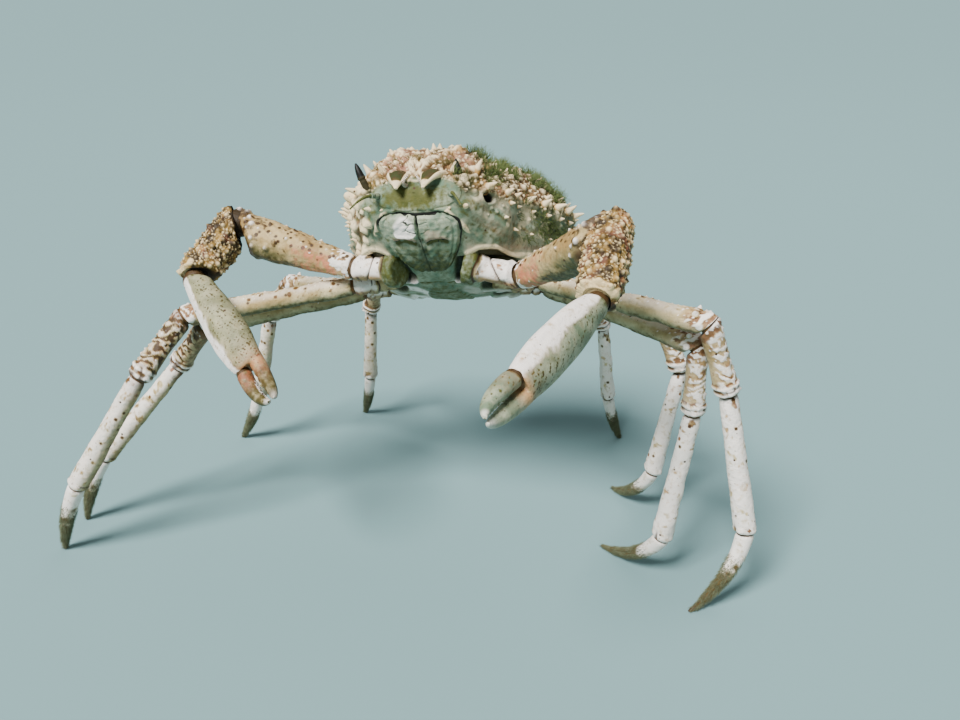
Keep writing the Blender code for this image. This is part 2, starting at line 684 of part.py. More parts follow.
def build_leg(limb, sockets):
    points = joints_of(limb)
    radius = LEG_RADIUS[kind_of(limb)]
    steps = [points[i + 1] - points[i] for i in range(5)]
    build_limb_base(limb, points, radius, LEG_SIDES, "shell", sockets)
    lower = steps[3].normalized()
    toe_turn = points[4] + (lower * 0.55 + steps[4].normalized() * 0.45) * steps[4].length * 0.5
    toe_way = (toe_turn - points[4]).normalized()
    halves = [mitre(*pair) for pair in zip(steps, steps[1:4] + [toe_way])]
    rows = (
        ("merus", MERUS, 1.0, 7),
        ("carpus", CARPUS, 1.02, 5),
        ("propodus", PROPODUS, 0.96, 6),
    )
    for k, (part, outline, share, rings) in enumerate(rows, start=1):
        up = side_up(steps[k])
        section = scaled(outline, radius * share)
        tube = Tube(straight(points[k], points[k + 1]), section, up, halves[k - 1], halves[k])
        segment = tube.build(f"{limb}_{part}", "shell", LEG_SIDES, rings)
        if part == "merus":
            combine(segment, knee_spines(tube))
            sockets.append(tube.build("socket", "shell", LEG_SIDES, rings, grow=GAP))
    floor = Vector((0, 0, -1))
    toe = scaled(DACTYLUS, radius * 0.88)
    tube = Tube(bent(points[4], toe_turn, points[5]), toe, side_up(steps[4]), halves[3], floor, end_gap=0)
    tube.build(f"{limb}_dactylus", "dactyl", LEG_SIDES, 7)


def side_up(way):
    """Upward side of a segment, or its outward side where it stands upright."""
    flat = Vector((way.x, way.y, 0))
    return Vector((0, 0, 1)) if flat.length > 0.2 * way.length else Vector((1, 0, 0.2))


def knee_spines(tube):
    """The two blunt spines at the top of a merus's far end."""
    made = []
    for angle in KNEE_ANGLES:
        foot, way = tube.point(KNEE_PLACE, angle), tube.normal(KNEE_PLACE, angle)
        made.append(spine(foot, way, KNEE_LENGTH, KNEE_RADIUS, slot="shell"))
    return made


def studs(tube, sizes, seed):
    """Tubercles scattered over part of a segment, from a seeded draw that keeps them apart."""
    count, low, high, length, radius, around = sizes
    rng = random.Random(seed)
    made, feet = [], []
    tries = 0
    while len(made) < count and tries < 40 * count:
        tries += 1
        t = rng.uniform(low, high)
        angle = rng.uniform(-math.pi, math.pi) * around
        foot = tube.point(t, angle)
        if tube.end_distance(foot) < 1.3 * length + 1:
            continue
        if any((foot - other).length < 2.1 * radius for other in feet):
            continue
        feet.append(foot)
        size = rng.uniform(0.75, 1.25)
        made.append(spine(foot, tube.normal(t, angle), length * size, radius * size, slot="claw"))
    return made


def build_cheliped(limb, sockets, seed):
    points = joints_of(limb)
    steps = [points[i + 1] - points[i] for i in range(5)]
    halves = [mitre(steps[i], steps[i + 1]) for i in range(3)]
    back = Vector(PALM_BACK[limb])
    build_limb_base(limb, points, CLAW_ISCHIUM_RADIUS, CLAW_SIDES, "claw", sockets)

    sag = points[2] - Vector((0, 0, MERUS_SAG))
    section = scaled(CLAW_MERUS, CLAW_MERUS_RADIUS)
    arm = Tube(straight(points[1], sag), section, (0, 0, 1), halves[0], halves[1], ends=points[1:3])
    merus = arm.build(f"{limb}_merus", "claw", CLAW_SIDES, 8)
    sockets.append(arm.build("socket", "claw", CLAW_SIDES, 8, grow=GAP))
    combine(merus, studs(arm, ARM_STUDS, seed))

    section = scaled(CLAW_CARPUS, CLAW_CARPUS_RADIUS)
    wrist = Tube(straight(points[2], points[3]), section, back, halves[1], halves[2])
    carpus = wrist.build(f"{limb}_carpus", "claw", CLAW_SIDES, 8)
    combine(carpus, studs(wrist, WRIST_STUDS, seed + 1))

    palm_way = steps[3].normalized()
    back = (back - palm_way * back.dot(palm_way)).normalized()
    hand = Tube(straight(points[3], points[4]), lambda t: along(PALM, t), back, halves[2], palm_way)
    palm = hand.build(f"{limb}_palm", "claw", CLAW_SIDES + 4, 10)
    finger_way = steps[4].normalized()
    root, tip = points[4], points[5]
    offset = back * FINGER_RADIUS * 1.08
    fixed_path = bent(root - offset - palm_way * 6, root - offset + palm_way * 22, tip - back * 1.6)
    fixed = Tube(fixed_path, scaled(FINGER, FINGER_RADIUS, 1.15), back, palm_way, finger_way, 0, 0)
    combine(palm, [fixed.build("fixed_finger", "claw", 10, 8)])
    moving_path = bent(root + offset, root + offset * 1.5 + palm_way * 22, tip + back * 1.6)
    moving = Tube(moving_path, scaled(FINGER, FINGER_RADIUS, 1.15), back, palm_way, finger_way, HALF_GAP, 0)
    moving.build(f"{limb}_finger", "claw", 10, 8)


def main():
    clear_scene()
    sockets = []
    for number, limb in enumerate(REACH):
        build_cheliped(limb, sockets, seed=20 + 10 * number)
    for limb in STANCE:
        build_leg(limb, sockets)
    build_body(sockets)


main()
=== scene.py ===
"""Looks of the great spider crab model: its shell, claws, legs, face, hair and weed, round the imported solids.

Lengths are in millimetres until MM turns them into metres, and the tables' angles are in degrees. The crab
faces -Y and +X is its left. Every piece is built on its solid's curves and replaces it; the setae, the weed,
the felt and the antennules have no solid.
"""

import math
import random

import bpy
import numpy as np
from mathutils import Matrix, Vector
from mathutils.bvhtree import BVHTree


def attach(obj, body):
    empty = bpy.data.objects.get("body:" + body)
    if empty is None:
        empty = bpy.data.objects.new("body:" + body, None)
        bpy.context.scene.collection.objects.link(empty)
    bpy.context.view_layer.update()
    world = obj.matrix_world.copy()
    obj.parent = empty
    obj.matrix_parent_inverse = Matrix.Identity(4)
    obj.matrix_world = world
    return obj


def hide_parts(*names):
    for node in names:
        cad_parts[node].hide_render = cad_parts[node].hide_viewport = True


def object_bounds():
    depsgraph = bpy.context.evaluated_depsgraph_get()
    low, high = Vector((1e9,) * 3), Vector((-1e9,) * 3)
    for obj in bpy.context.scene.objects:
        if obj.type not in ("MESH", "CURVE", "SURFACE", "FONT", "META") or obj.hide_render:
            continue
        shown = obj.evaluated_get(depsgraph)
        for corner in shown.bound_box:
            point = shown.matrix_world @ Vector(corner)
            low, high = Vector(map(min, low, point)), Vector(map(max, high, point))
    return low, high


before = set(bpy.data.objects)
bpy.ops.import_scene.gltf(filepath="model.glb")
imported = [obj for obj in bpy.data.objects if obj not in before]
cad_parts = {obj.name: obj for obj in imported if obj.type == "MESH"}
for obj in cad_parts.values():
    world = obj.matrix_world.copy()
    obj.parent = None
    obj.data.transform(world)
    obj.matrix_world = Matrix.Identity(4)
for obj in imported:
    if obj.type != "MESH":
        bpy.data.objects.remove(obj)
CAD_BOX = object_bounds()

MM = 0.001
GAP = 0.3  # between neighbouring solids
SIDES = {"left": 1, "right": -1}

# -------- sizes shared with the solids
BODY_CENTRE = (25.5, 39.0, 216.0)
BODY_YAW, BODY_PITCH, BODY_ROLL = -3.0, 29.0, 6.5
FRONT_Y, HIND_Y = -66.0, 75.0
DORSAL_POWER, VENTRAL_POWER = 2.0, 2.35
# Cross-sections of the shell: y, half width, top, side edge, bottom.
BODY_SECTIONS = (
    (-66, 27, 11, 3, -6),
    (-61, 34, 20, 3, -13),
    (-50, 39, 27, 4, -22),
    (-38, 47, 32, 4, -29.5),
    (-24, 51, 34, 4, -36),
    (-6, 61, 37, 4, -41),
    (14, 69, 39, 5, -43),
    (34, 72, 37, 5, -40),
    (52, 64, 30, 5, -34),
    (66, 45, 18, 3, -23),
    (75, 19, 5, -3, -11),
)
# Swellings and furrows of the back: x (mirrored), y, height, spread across, spread along.
REGIONS = (
    (0, -22, 5.0, 13, 15),
    (0, 23, 4.0, 11, 12),
    (0, 52, 3.0, 9, 8),
    (36, 20, 4.5, 15, 22),
    (34, -37, 3.0, 8, 8),
    (19, -43, 6.0, 12, 11),
    (30, -14, -4.0, 9, 9),
    (19, 6, -2.5, 6, 16),
)
# The plane between carapace and sternum.
SPLIT_FRONT_Y, SPLIT_FRONT_Z, SPLIT_SLOPE = -34.0, -28.0, 0.163
HORN = ((0, 1.0), (0.3, 0.98), (0.6, 0.78), (0.85, 0.42), (1, 0.12))
HORN_RADIUS, HORN_FLAT = 4.6, 1.5
HORN_PATH = ((10, -53, 13), (10.5, -71, 17), (7.5, -77, 3))
# Foot and way on the crab's left, length, radius.
ORBIT_SPINES = (
    ((20, -60, 16), (0.3, -0.75, 0.5), 8, 3.8),
    ((31, -53, 18), (0.5, -0.35, 0.75), 8, 3.4),
    ((37, -53, 8), (0.8, -0.6, 0.15), 10, 5.0),
    ((27, -61, -4), (0.5, -0.85, -0.1), 6, 3.2),
    ((19, -63, -5), (0.2, -0.95, -0.3), 4.5, 2.4),
)
# y and length of the spines on each margin and on the midline; y, angle and length of the cheeks'.
MARGIN_SPINES = (
    (-40, 8.5), (-31, 6.5), (-18, 8.0), (-6, 9.0), (7, 9.5), (20, 9.5), (33, 9.0), (46, 8.0), (58, 6.0),
)
CHEEK_SPINES = ((-40, 104, 4.5), (-28, 108, 4.0), (-14, 106, 3.6), (2, 105, 3.2), (20, 104, 3.2))
MIDLINE_SPINES = (
    (-44, 4.5), (-32, 5.5), (-20, 6.0), (-6, 4.5), (14, 5.5), (26, 6.0), (42, 4.5), (54, 6.0), (70, 5.0),
)
MOUTH_START, MOUTH_END = (0, -65, -8), (0, -24, -36)
# Half width at lengths along.
ABDOMEN_HALF = ((0, 4.5), (6, 8.5), (16, 12.5), (30, 15), (41, 13.5), (52, 10.5), (63, 11.5), (72, 9.5))
ABDOMEN_FRONT, ABDOMEN_HIND = (0, -16, -41.5), (0, 56, -33.0)
ABDOMEN_LENGTH, ABDOMEN_PROUD = 72.0, 2.2
ABDOMEN_JOINTS = (13, 27, 38, 49, 60)
EYE_OUTLINE = ((0, 1.0), (0.3, 0.9), (0.5, 0.96), (0.7, 0.88), (0.9, 0.55), (1, 0.22))
EYE_RADIUS = 2.8
EYES = {
    "left": ((23, -58, 7), (24, -63, 13), (21.5, -65, 24)),
    "right": ((-30, -58, 7), (-33, -63, 13), (-37, -65, 24)),
}
PEDUNCLE = ((0, 1.0), (0.45, 1.0), (0.55, 0.7), (1, 0.62))
WHIP = ((0, 1.0), (0.5, 0.75), (1, 0.45))
PEDUNCLE_RADIUS, WHIP_RADIUS = 2.4, 0.9
PEDUNCLE_PATH = ((19, -60, 1.5), (21, -69, 2.0), (23, -74, 0.5))
WHIP_PATH = ((22.7, -73, 0.8), (26, -80, -1), (31, -84, -9))
ANTENNULE_PATH, ANTENNULE_RADIUS = ((4.5, -67, 7), (6.5, -75, 6), (2.5, -73, 11)), 1.1

# Where each limb leaves the body, on the crab's left, and the lengths of its segments from there.
ROOTS = {
    "cheliped": (26, -29, -32),
    "leg_1": (36, -4, -35),
    "leg_2": (37, 17, -34),
    "leg_3": (36, 36, -31),
    "leg_4": (30, 53, -27),
}
LENGTHS = {
    "cheliped": (26, 84, 46, 73, 30),
    "leg_1": (22, 107, 47, 90, 60),
    "leg_2": (21, 104, 45, 86, 56),
    "leg_3": (19, 88, 40, 74, 52),
    "leg_4": (18, 74, 35, 64, 48),
}
LEG_RADIUS = {"leg_1": 6.3, "leg_2": 6.0, "leg_3": 5.6, "leg_4": 5.1}
# Heading and rise of ischium, merus, carpus and propodus, then the dactylus's heading.
STANCE = {
    "leg_left_1": ((111, -5.5), (73, -3.5), (109, -70.5), (70, -77), -57.5),
    "leg_left_2": ((112, -9), (70.5, -9), (88, -89), (-54, -80.5), -126.5),
    "leg_left_3": ((132, -5), (107.5, -22), (109.5, -66), (-31, -70.5), -135.5),
    "leg_left_4": ((110.5, -9), (157.5, -25), (145.5, -56), (150.5, -79.5), 149.5),
    "leg_right_1": ((-81, -10), (-73.5, -9.5), (-36.5, -42.5), (-73.5, -57), -104),
    "leg_right_2": ((-72, -11), (-71.5, -11), (-106.5, -50), (-67, -48.5), -87),
    "leg_right_3": ((-89.5, -11.5), (-112.5, -10.5), (-114.5, -53), (-114.5, -73), -113.5),
    "leg_right_4": ((-121, -9), (-143.5, -21), (-145, -55.5), (-145, -79.5), -145),
}
# Heading and rise of a claw's ischium, merus, carpus, palm and fingers.
REACH = {
    "cheliped_left": ((95.5, -9.5), (50, 32.5), (-1, -31), (-22, -13.5), (-14, -3)),
    "cheliped_right": ((-106.5, -9), (-100, 12.5), (-20, -30.5), (53.5, -32.5), (46, -14)),
}
PALM_BACK = {"cheliped_left": (-0.35, -0.1, 0.93), "cheliped_right": (-0.9, 0.0, -0.15)}
# Outlines: share of the radius at places along a segment. The palm's has its height and its width.
ISCHIUM = ((0, 0.92), (0.35, 1.0), (0.85, 1.03), (1, 0.93))
# A claw's starts with its stout coxa.
CLAW_ISCHIUM = (
    (0, 1.15), (0.08, 1.5), (0.16, 1.58), (0.24, 1.38), (0.31, 1.04), (0.6, 1.0), (0.86, 1.03), (1, 0.93),
)
# Outline and depth of the root of a limb's first segment.
LIMB_BASES = {"claw": (CLAW_ISCHIUM, 7.5), "shell": (ISCHIUM, 5.0)}
MERUS = ((0, 0.88), (0.08, 0.97), (0.35, 0.95), (0.7, 1.0), (0.92, 1.12), (1, 1.02))
CARPUS = ((0, 0.98), (0.15, 1.04), (0.5, 0.98), (0.82, 1.12), (1, 1.0))
PROPODUS = ((0, 0.88), (0.1, 0.93), (0.5, 1.0), (0.86, 1.12), (0.96, 1.12), (1, 1.0))
DACTYLUS = ((0, 0.95), (0.06, 1.0), (0.4, 0.82), (0.75, 0.52), (0.93, 0.3), (1, 0.22))
CLAW_MERUS = ((0, 0.6), (0.1, 0.63), (0.4, 0.82), (0.75, 1.0), (0.92, 0.98), (1, 0.8))
CLAW_CARPUS = ((0, 0.92), (0.15, 1.04), (0.5, 1.08), (0.8, 0.96), (1, 0.7))
PALM = (
    (0, 6.6, 6.0), (0.1, 7.9, 6.8), (0.35, 10.6, 8.0), (0.65, 11.8, 8.3), (0.85, 10.6, 7.8), (1, 9.0, 6.8),
)
FINGER = ((0, 1.0), (0.3, 0.86), (0.7, 0.55), (0.92, 0.28), (1, 0.14))
CLAW_ISCHIUM_RADIUS, CLAW_MERUS_RADIUS, CLAW_CARPUS_RADIUS = 7.2, 12.6, 10.6
FINGER_RADIUS = 4.8
FINGER_ROOT, FINGER_BOW, FINGER_TIPS = 6, 22, 1.6  # inside the palm, out to the bend, between the tips
TEETH = 9
MERUS_SAG = 5.0

# -------- fineness and finish
TRUNK_STEP, TRUNK_COLUMNS = 0.62, 560
CAP_ROWS, FRONT_BULGE, HIND_BULGE = 30, 3.0, 1.5
LEG_STEP, CLAW_STEP, WRIST_STEP = 0.72, 0.55, 0.42
LIP, CLAW_LIP = 1.5, 2.4  # rounding of a segment's ends
TOE_STEP, FINGER_STEP, PALM_STEP = 0.5, 0.5, 0.6
HORN_STEP, STALK_STEP, FEELER_STEP, FEELER_COLUMNS = 0.35, 0.4, 0.3, 18
MOUTH_GRID, ABDOMEN_GRID, KNUCKLE_GRID = (150, 84), (130, 61), (28, 40)  # rows and columns
PALM_VOXEL, PALM_SMOOTHING = 0.6, 6
PROBE_HEIGHT = 45  # over a plate, from where the surface under it is looked for
SPINE_BOXES = 140  # places for the trunk's spines in the unwrap
LEG_SEED, CLAW_SEED = 100, 300
SKIN_BOX = (0, 0, 1, 0.88)  # a grid's part of the unwrap; the small forms' strip lies over it
MARKS = ("knob", "stain", "blush", "dark", "moss", "face")
EYE_SHARE = 0.8  # of the solid eye's girth, and of its length beyond the bend
CLAW_BROWN = {"cheliped_left": 0.0, "cheliped_right": 1.0}  # how brown a claw's fingers are
HAIR_ROUGHNESS = (0.7, 0.8)
# 8-bit sRGB colours.
WHITE, UMBER, NIGHT = (246, 236, 226), (66, 44, 24), (20, 19, 14)
# The green-grey of the face and the underside is partly the shell's own colour and partly painted shade.
SAGE, STONE, OLIVE = (98, 122, 98), (160, 168, 142), (86, 86, 34)
BONE, SAND, MOSS = (204, 184, 138), (168, 142, 92), (62, 70, 26)


def srgb(red, green, blue):
    """Blender's linear colour of an 8-bit sRGB one."""
    shares = (red / 255, green / 255, blue / 255)
    return tuple(c / 12.92 if c <= 0.04045 else ((c + 0.055) / 1.055) ** 2.4 for c in shares) + (1.0,)


# -------- numbers
def unit(v):
    return v / np.maximum(np.linalg.norm(v, axis=-1, keepdims=True), 1e-9)


def dot(a, b):
    return (a * b).sum(-1)


def ramp(low, high, x):
    """0 at low and 1 at high, with a smooth step between."""
    s = np.clip((x - low) / (high - low), 0.0, 1.0)
    return s * s * (3 - 2 * s)


def bell(x, width):
    """1 at 0, falling away over the width."""
    return np.exp(-((x / width) ** 2))


def circle(count):
    return np.linspace(0, 2 * math.pi, count, endpoint=False)


def lattice(rows, columns):
    return np.meshgrid(rows, columns, indexing="ij")


def axes_of(points):
    return np.moveaxis(points, -1, 0)


def mirrored(points):
    """The points with the crab's right half laid on its left."""
    return np.concatenate([np.abs(points[..., :1]), points[..., 1:]], -1)


def distance(points, centre, radii=1.0):
    return np.linalg.norm((points - centre) / radii, axis=-1)


def ripple(points, size, seed):
    """Smooth noise of about -1 to 1 with lumps of that size."""
    rng = np.random.default_rng(seed)
    total = np.zeros(points.shape[:-1])
    for _ in range(10):
        way = unit(rng.normal(size=3)) * rng.uniform(0.6, 1.6) * 2 * math.pi / size
        total += np.sin(points @ way + rng.uniform(0, 2 * math.pi))
    return total / 4


def along(table, t):
    """Values of a table of (t, value, ...) rows at every t, on a smooth curve through the rows."""
    rows, t = np.array(table, float), np.asarray(t, float)
    last = len(rows) - 1
    k = np.clip(np.searchsorted(rows[:, 0], t, side="right") - 1, 0, last - 1)
    before, low, high, after = (rows[np.clip(k + n, 0, last)] for n in (-1, 0, 1, 2))
    span = (high - low)[..., :1]
    s = np.clip((t[..., None] - low[..., :1]) / span, 0, 1)
    rise_low = (high - before) / (high - before)[..., :1] * span
    rise_high = (after - low) / (after - low)[..., :1] * span
    curve = (2 * s**3 - 3 * s**2 + 1) * low + (s**3 - 2 * s**2 + s) * rise_low
    curve += (3 * s**2 - 2 * s**3) * high + (s**3 - s**2) * rise_high
    return curve[..., 1:]


def heading(azimuth, rise):
    """Unit vector for a heading (0 is -Y, 90 is +X) and a rise above the horizon."""
    a, e = math.radians(azimuth), math.radians(rise)
    return np.array((math.sin(a) * math.cos(e), -math.cos(a) * math.cos(e), math.sin(e)))


def body_matrix():
    pitch = Matrix.Rotation(math.radians(-BODY_PITCH), 4, "X")
    roll = Matrix.Rotation(math.radians(-BODY_ROLL), 4, "Y")
    yaw = Matrix.Rotation(math.radians(BODY_YAW), 4, "Z")
    return np.array(Matrix.Translation(BODY_CENTRE) @ yaw @ pitch @ roll)


BODY = body_matrix()


def to_world(points, matrix=BODY):
    return np.asarray(points, float) @ matrix[:3, :3].T + matrix[:3, 3]


def to_body(points):
    return (np.asarray(points, float) - BODY[:3, 3]) @ BODY[:3, :3]


# -------- grids of surface points
def cone(d):
    """Profiles of a bump, 1 at its middle and 0 at its rim."""
    return np.clip(1 - d, 0, 1) ** 1.25


def lump(d):
    return np.clip(1 - d, 0, 1) ** 0.75


def bead(d):
    return np.sqrt(np.clip(1 - d * d, 0, 1))


class Skin:
    """A grid of surface points, rows along it and columns round it, with bumps and colour marks."""

    def __init__(self, points, closed=True):
        self.points, self.closed = points, closed
        self.shape = points.shape[:2]
        rows = np.gradient(points, axis=0)
        if closed:
            columns = (np.roll(points, -1, 1) - np.roll(points, 1, 1)) / 2
        else:
            columns = np.gradient(points, axis=1)
        self.row_step = np.maximum(np.linalg.norm(rows, axis=-1), 1e-3)
        self.column_step = np.maximum(np.linalg.norm(columns, axis=-1), 1e-3)
        self.normals = unit(np.cross(columns, rows))
        self.flip = False
        self.height = np.zeros(self.shape)
        self.bumps = np.zeros(self.shape)
        self.marks = {name: np.zeros(self.shape) for name in MARKS}

    def face_away_from(self, centres):
        """Turns the normals away from one centre point for each row, or from one for all."""
        if dot(self.normals, self.points - centres).mean() < 0:
            self.normals = -self.normals
            self.flip = True
        return self

    def scatter(self, seed, count, low, high, weight, spacing=0.95):
        """Places for bumps as (row, column, radius), drawn by area and weight and kept apart."""
        rng = np.random.default_rng(seed)
        share = np.cumsum((self.row_step * self.column_step * weight).ravel())
        if share[-1] <= 0:
            return []
        drawn = np.searchsorted(share, rng.random(count * 8) * share[-1])
        sizes = np.sort(low + (high - low) * rng.random(count * 8) ** 1.6)[::-1]
        cells, kept = {}, []
        for index, radius in zip(drawn, sizes):
            i, j = divmod(int(index), self.shape[1])
            x, y, z = self.points[i, j]
            home = (int(x // (2 * high)), int(y // (2 * high)), int(z // (2 * high)))
            near = (
                other
                for a in (-1, 0, 1)
                for b in (-1, 0, 1)
                for c in (-1, 0, 1)
                for other in cells.get((home[0] + a, home[1] + b, home[2] + c), ())
            )
            if any(math.dist((x, y, z), o[:3]) < spacing * (radius + o[3]) for o in near):
                continue
            cells.setdefault(home, []).append((x, y, z, radius))
            kept.append((i, j, radius))
            if len(kept) == count:
                break
        return kept

    def emboss(self, i, j, radius, height, profile=cone, mark="knob", share=1.0):
        """Raises one bump at a grid place."""
        tall = int(radius / self.row_step[i, j]) + 1
        wide = min(int(radius / self.column_step[i, j]) + 1, self.shape[1] // 2 - 1)
        rows = np.arange(max(i - tall, 0), min(i + tall + 1, self.shape[0]))
        columns = np.arange(j - wide, j + wide + 1)
        if self.closed:
            columns = columns % self.shape[1]
        else:
            columns = columns[(columns >= 0) & (columns < self.shape[1])]
        window = np.ix_(rows, columns)
        far = np.linalg.norm(self.points[window] - self.points[i, j], axis=-1) / radius
        bump = profile(far)
        self.bumps[window] = np.maximum(self.bumps[window], bump * height)
        if mark:
            self.marks[mark][window] = np.maximum(self.marks[mark][window], bump * share)

    def knobs(self, seed, count, low, high, weight, tall=0.8, profile=cone, share=1.0, spread=0.5):
        """Scattered bumps of uneven height and paleness."""
        rng = random.Random(seed)
        for i, j, radius in self.scatter(seed, count, low, high, weight):
            height = radius * tall * rng.uniform(0.7, 1.25)
            self.emboss(i, j, radius, height, profile, "knob", share * rng.uniform(1.1 - spread, 1.1))

    def specks(self, seed, count, low, high, weight, mark="stain"):
        """Scattered flat spots of colour."""
        before = self.marks[mark]
        self.marks[mark] = np.zeros(self.shape)
        for i, j, radius in self.scatter(seed, count, low, high, weight, spacing=1.5):
            self.emboss(i, j, radius, 0.0, bead, mark, 1.0)
        self.clear(1.4 * self.marks[mark], "knob")
        self.marks[mark] = np.maximum(before, self.marks[mark])

    def wave(self, size, seed):
        return ripple(self.points, size, seed)

    def rough(self, seed, *waves):
        """Adds waves of (size, height) to the surface."""
        for k, (size, tall) in enumerate(waves):
            self.height += tall * self.wave(size, seed + k)

    def line(self, far, tall, width, share=1.0, **marks):
        """A ridge where far is 0, or a groove where tall is negative, and marks as (amount, width)."""
        self.height += share * tall * bell(far, width)
        self.paint(**{mark: share * amount * bell(far, wide) for mark, (amount, wide) in marks.items()})

    def paint(self, **amounts):
        """Raises each named mark to its amount where it is less."""
        for mark, amount in amounts.items():
            self.marks[mark] = np.clip(np.maximum(self.marks[mark], amount), 0, 1)

    def clear(self, share, *marks):
        """Takes that share of each named mark away."""
        for mark in marks:
            self.marks[mark] = self.marks[mark] * (1 - np.clip(share, 0, 1))

    def surface(self):
        return self.points + self.normals * (self.height + self.bumps)[..., None]


class Piece:
    """Collects grids and small forms into one mesh object."""

    def __init__(self):
        self.points, self.marks, self.faces, self.count = [], [], [], 0

    def put(self, points, marks, faces, corners):
        """Vertices, their marks, and faces with a UV place for each corner."""
        self.faces.append((faces + self.count, corners))
        self.points.append(points)
        self.marks.append(marks)
        self.count += len(points)

    def put_skin(self, skin, box=(0.0, 0.0, 1.0, 1.0), keep=None, caps=True):
        """A grid's faces, or those whose middle passes keep."""
        rows, columns = skin.shape
        points = skin.surface()
        width = columns if skin.closed else columns - 1
        r, c = lattice(np.arange(rows - 1), np.arange(width))
        right = (c + 1) % columns
        this, after = r * columns, (r + 1) * columns
        faces = np.stack([this + c, this + right, after + right, after + c], -1)
        left, low, span, rise = box[0], box[1], box[2] - box[0], box[3] - box[1]
        across = np.stack([c, c + 1, c + 1, c], -1) / width * span + left
        up = np.stack([r, r, r + 1, r + 1], -1) / (rows - 1) * rise + low
        faces, corners = faces.reshape(-1, 4), np.stack([across, up], -1).reshape(-1, 4, 2)
        flat = points.reshape(-1, 3)
        if keep is not None:
            kept = keep(flat[faces].mean(1))
            faces, corners = faces[kept], corners[kept]
        if not skin.flip:
            faces, corners = faces[:, ::-1], corners[:, ::-1]
        marks = np.stack([skin.marks[name] for name in MARKS], -1)
        self.put(flat, marks.reshape(-1, len(MARKS)), faces, corners)
        if caps and skin.closed:
            for row, at in ((0, low), (rows - 1, low + rise)):
                self.put_cap(points[row], marks[row], (row == 0) != skin.flip, (left, at))

    def put_cap(self, ring, marks, turned, place):
        n = len(ring)
        faces = np.stack([np.arange(n), (np.arange(n) + 1) % n, np.full(n, n)], -1)
        points = np.vstack([ring, ring.mean(0)])
        marks = np.vstack([marks, marks.mean(0)])
        corners = np.full((n, 3, 2), place, float)
        self.put(points, marks, faces if turned else faces[:, ::-1], corners)

    def put_spine(self, base, axis, length, radius, cell, sides=10, rings=7, bend=0.0, curve=None):
        """A tapered spine with a flared root."""
        axis = unit(np.asarray(axis, float))
        t = np.linspace(-0.25, 1, rings)
        width = np.interp(t, SPINE_PLACES, curve or SHARP)
        across = unit(np.cross(axis, (0.31, 0.87, 0.38)))
        side = np.cross(axis, across)
        a = circle(sides)[:, None]
        lean = across * (bend * length * np.clip(t, 0, 1) ** 2)[:, None]
        middle = base + axis * (t * length)[:, None] + lean
        ring = (across * np.cos(a) + side * np.sin(a)) * radius
        skin = Skin(middle[:, None] + ring[None] * width[:, None, None])
        skin.face_away_from(middle[:, None])
        skin.marks["knob"] = np.repeat(ramp(-0.1, 0.45, t)[:, None], sides, 1)
        skin.marks["stain"] = 0.6 * bell(skin.marks["knob"], 0.3)
        self.put_skin(skin, cell)

    def mesh(self, name):
        """The collected faces as one mesh, with its unwrap."""
        mesh = bpy.data.meshes.new(name)
        index = np.concatenate([f.ravel() for f, _ in self.faces])
        used, index = np.unique(index, return_inverse=True)
        points = np.clip(np.vstack(self.points)[used] * MM, *CAD_BOX)
        corners = np.concatenate([c.reshape(-1, 2) for _, c in self.faces])
        sizes = np.concatenate([np.full(len(f), f.shape[1]) for f, _ in self.faces])
        mesh.vertices.add(len(points))
        mesh.vertices.foreach_set("co", points.astype(np.float32).ravel())
        mesh.loops.add(len(index))
        mesh.loops.foreach_set("vertex_index", index.astype(np.int32))
        mesh.polygons.add(len(sizes))
        mesh.polygons.foreach_set("loop_start", (np.cumsum(sizes) - sizes).astype(np.int32))
        mesh.update(calc_edges=True)
        layer = mesh.uv_layers.new(name="OFBake")
        layer.data.foreach_set("uv", corners.astype(np.float32).ravel())
        mark_points(mesh, dict(zip(MARKS, np.vstack(self.marks)[used].T)))
        mesh.shade_smooth()
        return mesh

    def build(self, name, material, nodes, slot):
        """Makes the object, which rides on the root and replaces its solids."""
        obj = add_object(name, self.mesh(name))
        obj.data.materials.append(MATERIALS[material])
        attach(obj, "root")
        if nodes:
            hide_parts(*nodes)
        return obj


def mark_points(mesh, marks):
    """Keeps each named mark's values on the mesh's points, for its material."""
    for name, values in marks.items():
        attribute = mesh.attributes.get(name) or mesh.attributes.new(name, "FLOAT", "POINT")
        attribute.data.foreach_set("value", values.astype(np.float32))


def build_skin(name, skin, material, nodes, slot, **options):
    """A piece of one grid."""
    piece = Piece()
    piece.put_skin(skin, **options)
    return piece.build(name, material, nodes, slot)


def add_object(name, data, spot=(0, 0, 0), way=None):
    """A new object in the scene, its -Z turned to the way if there is one."""
    obj = bpy.data.objects.new(name, data)
    obj.location = spot
    if way is not None:
        obj.rotation_euler = Vector(way).to_track_quat("-Z", "Y").to_euler()
    bpy.context.scene.collection.objects.link(obj)
    return obj


def cells(count, low=0.9):
    """Boxes of a strip at the top of the unwrap, one for each small form."""
    wide = max(1, math.ceil(math.sqrt(count * 10)))
    tall = math.ceil(count / wide)
    for k in range(count):
        i, j = divmod(k, wide)
        x, y, w, h = j / wide, low + i * (1 - low) / tall, 1 / wide, (1 - low) / tall
        yield (x + 0.1 * w, y + 0.1 * h, x + 0.9 * w, y + 0.9 * h)


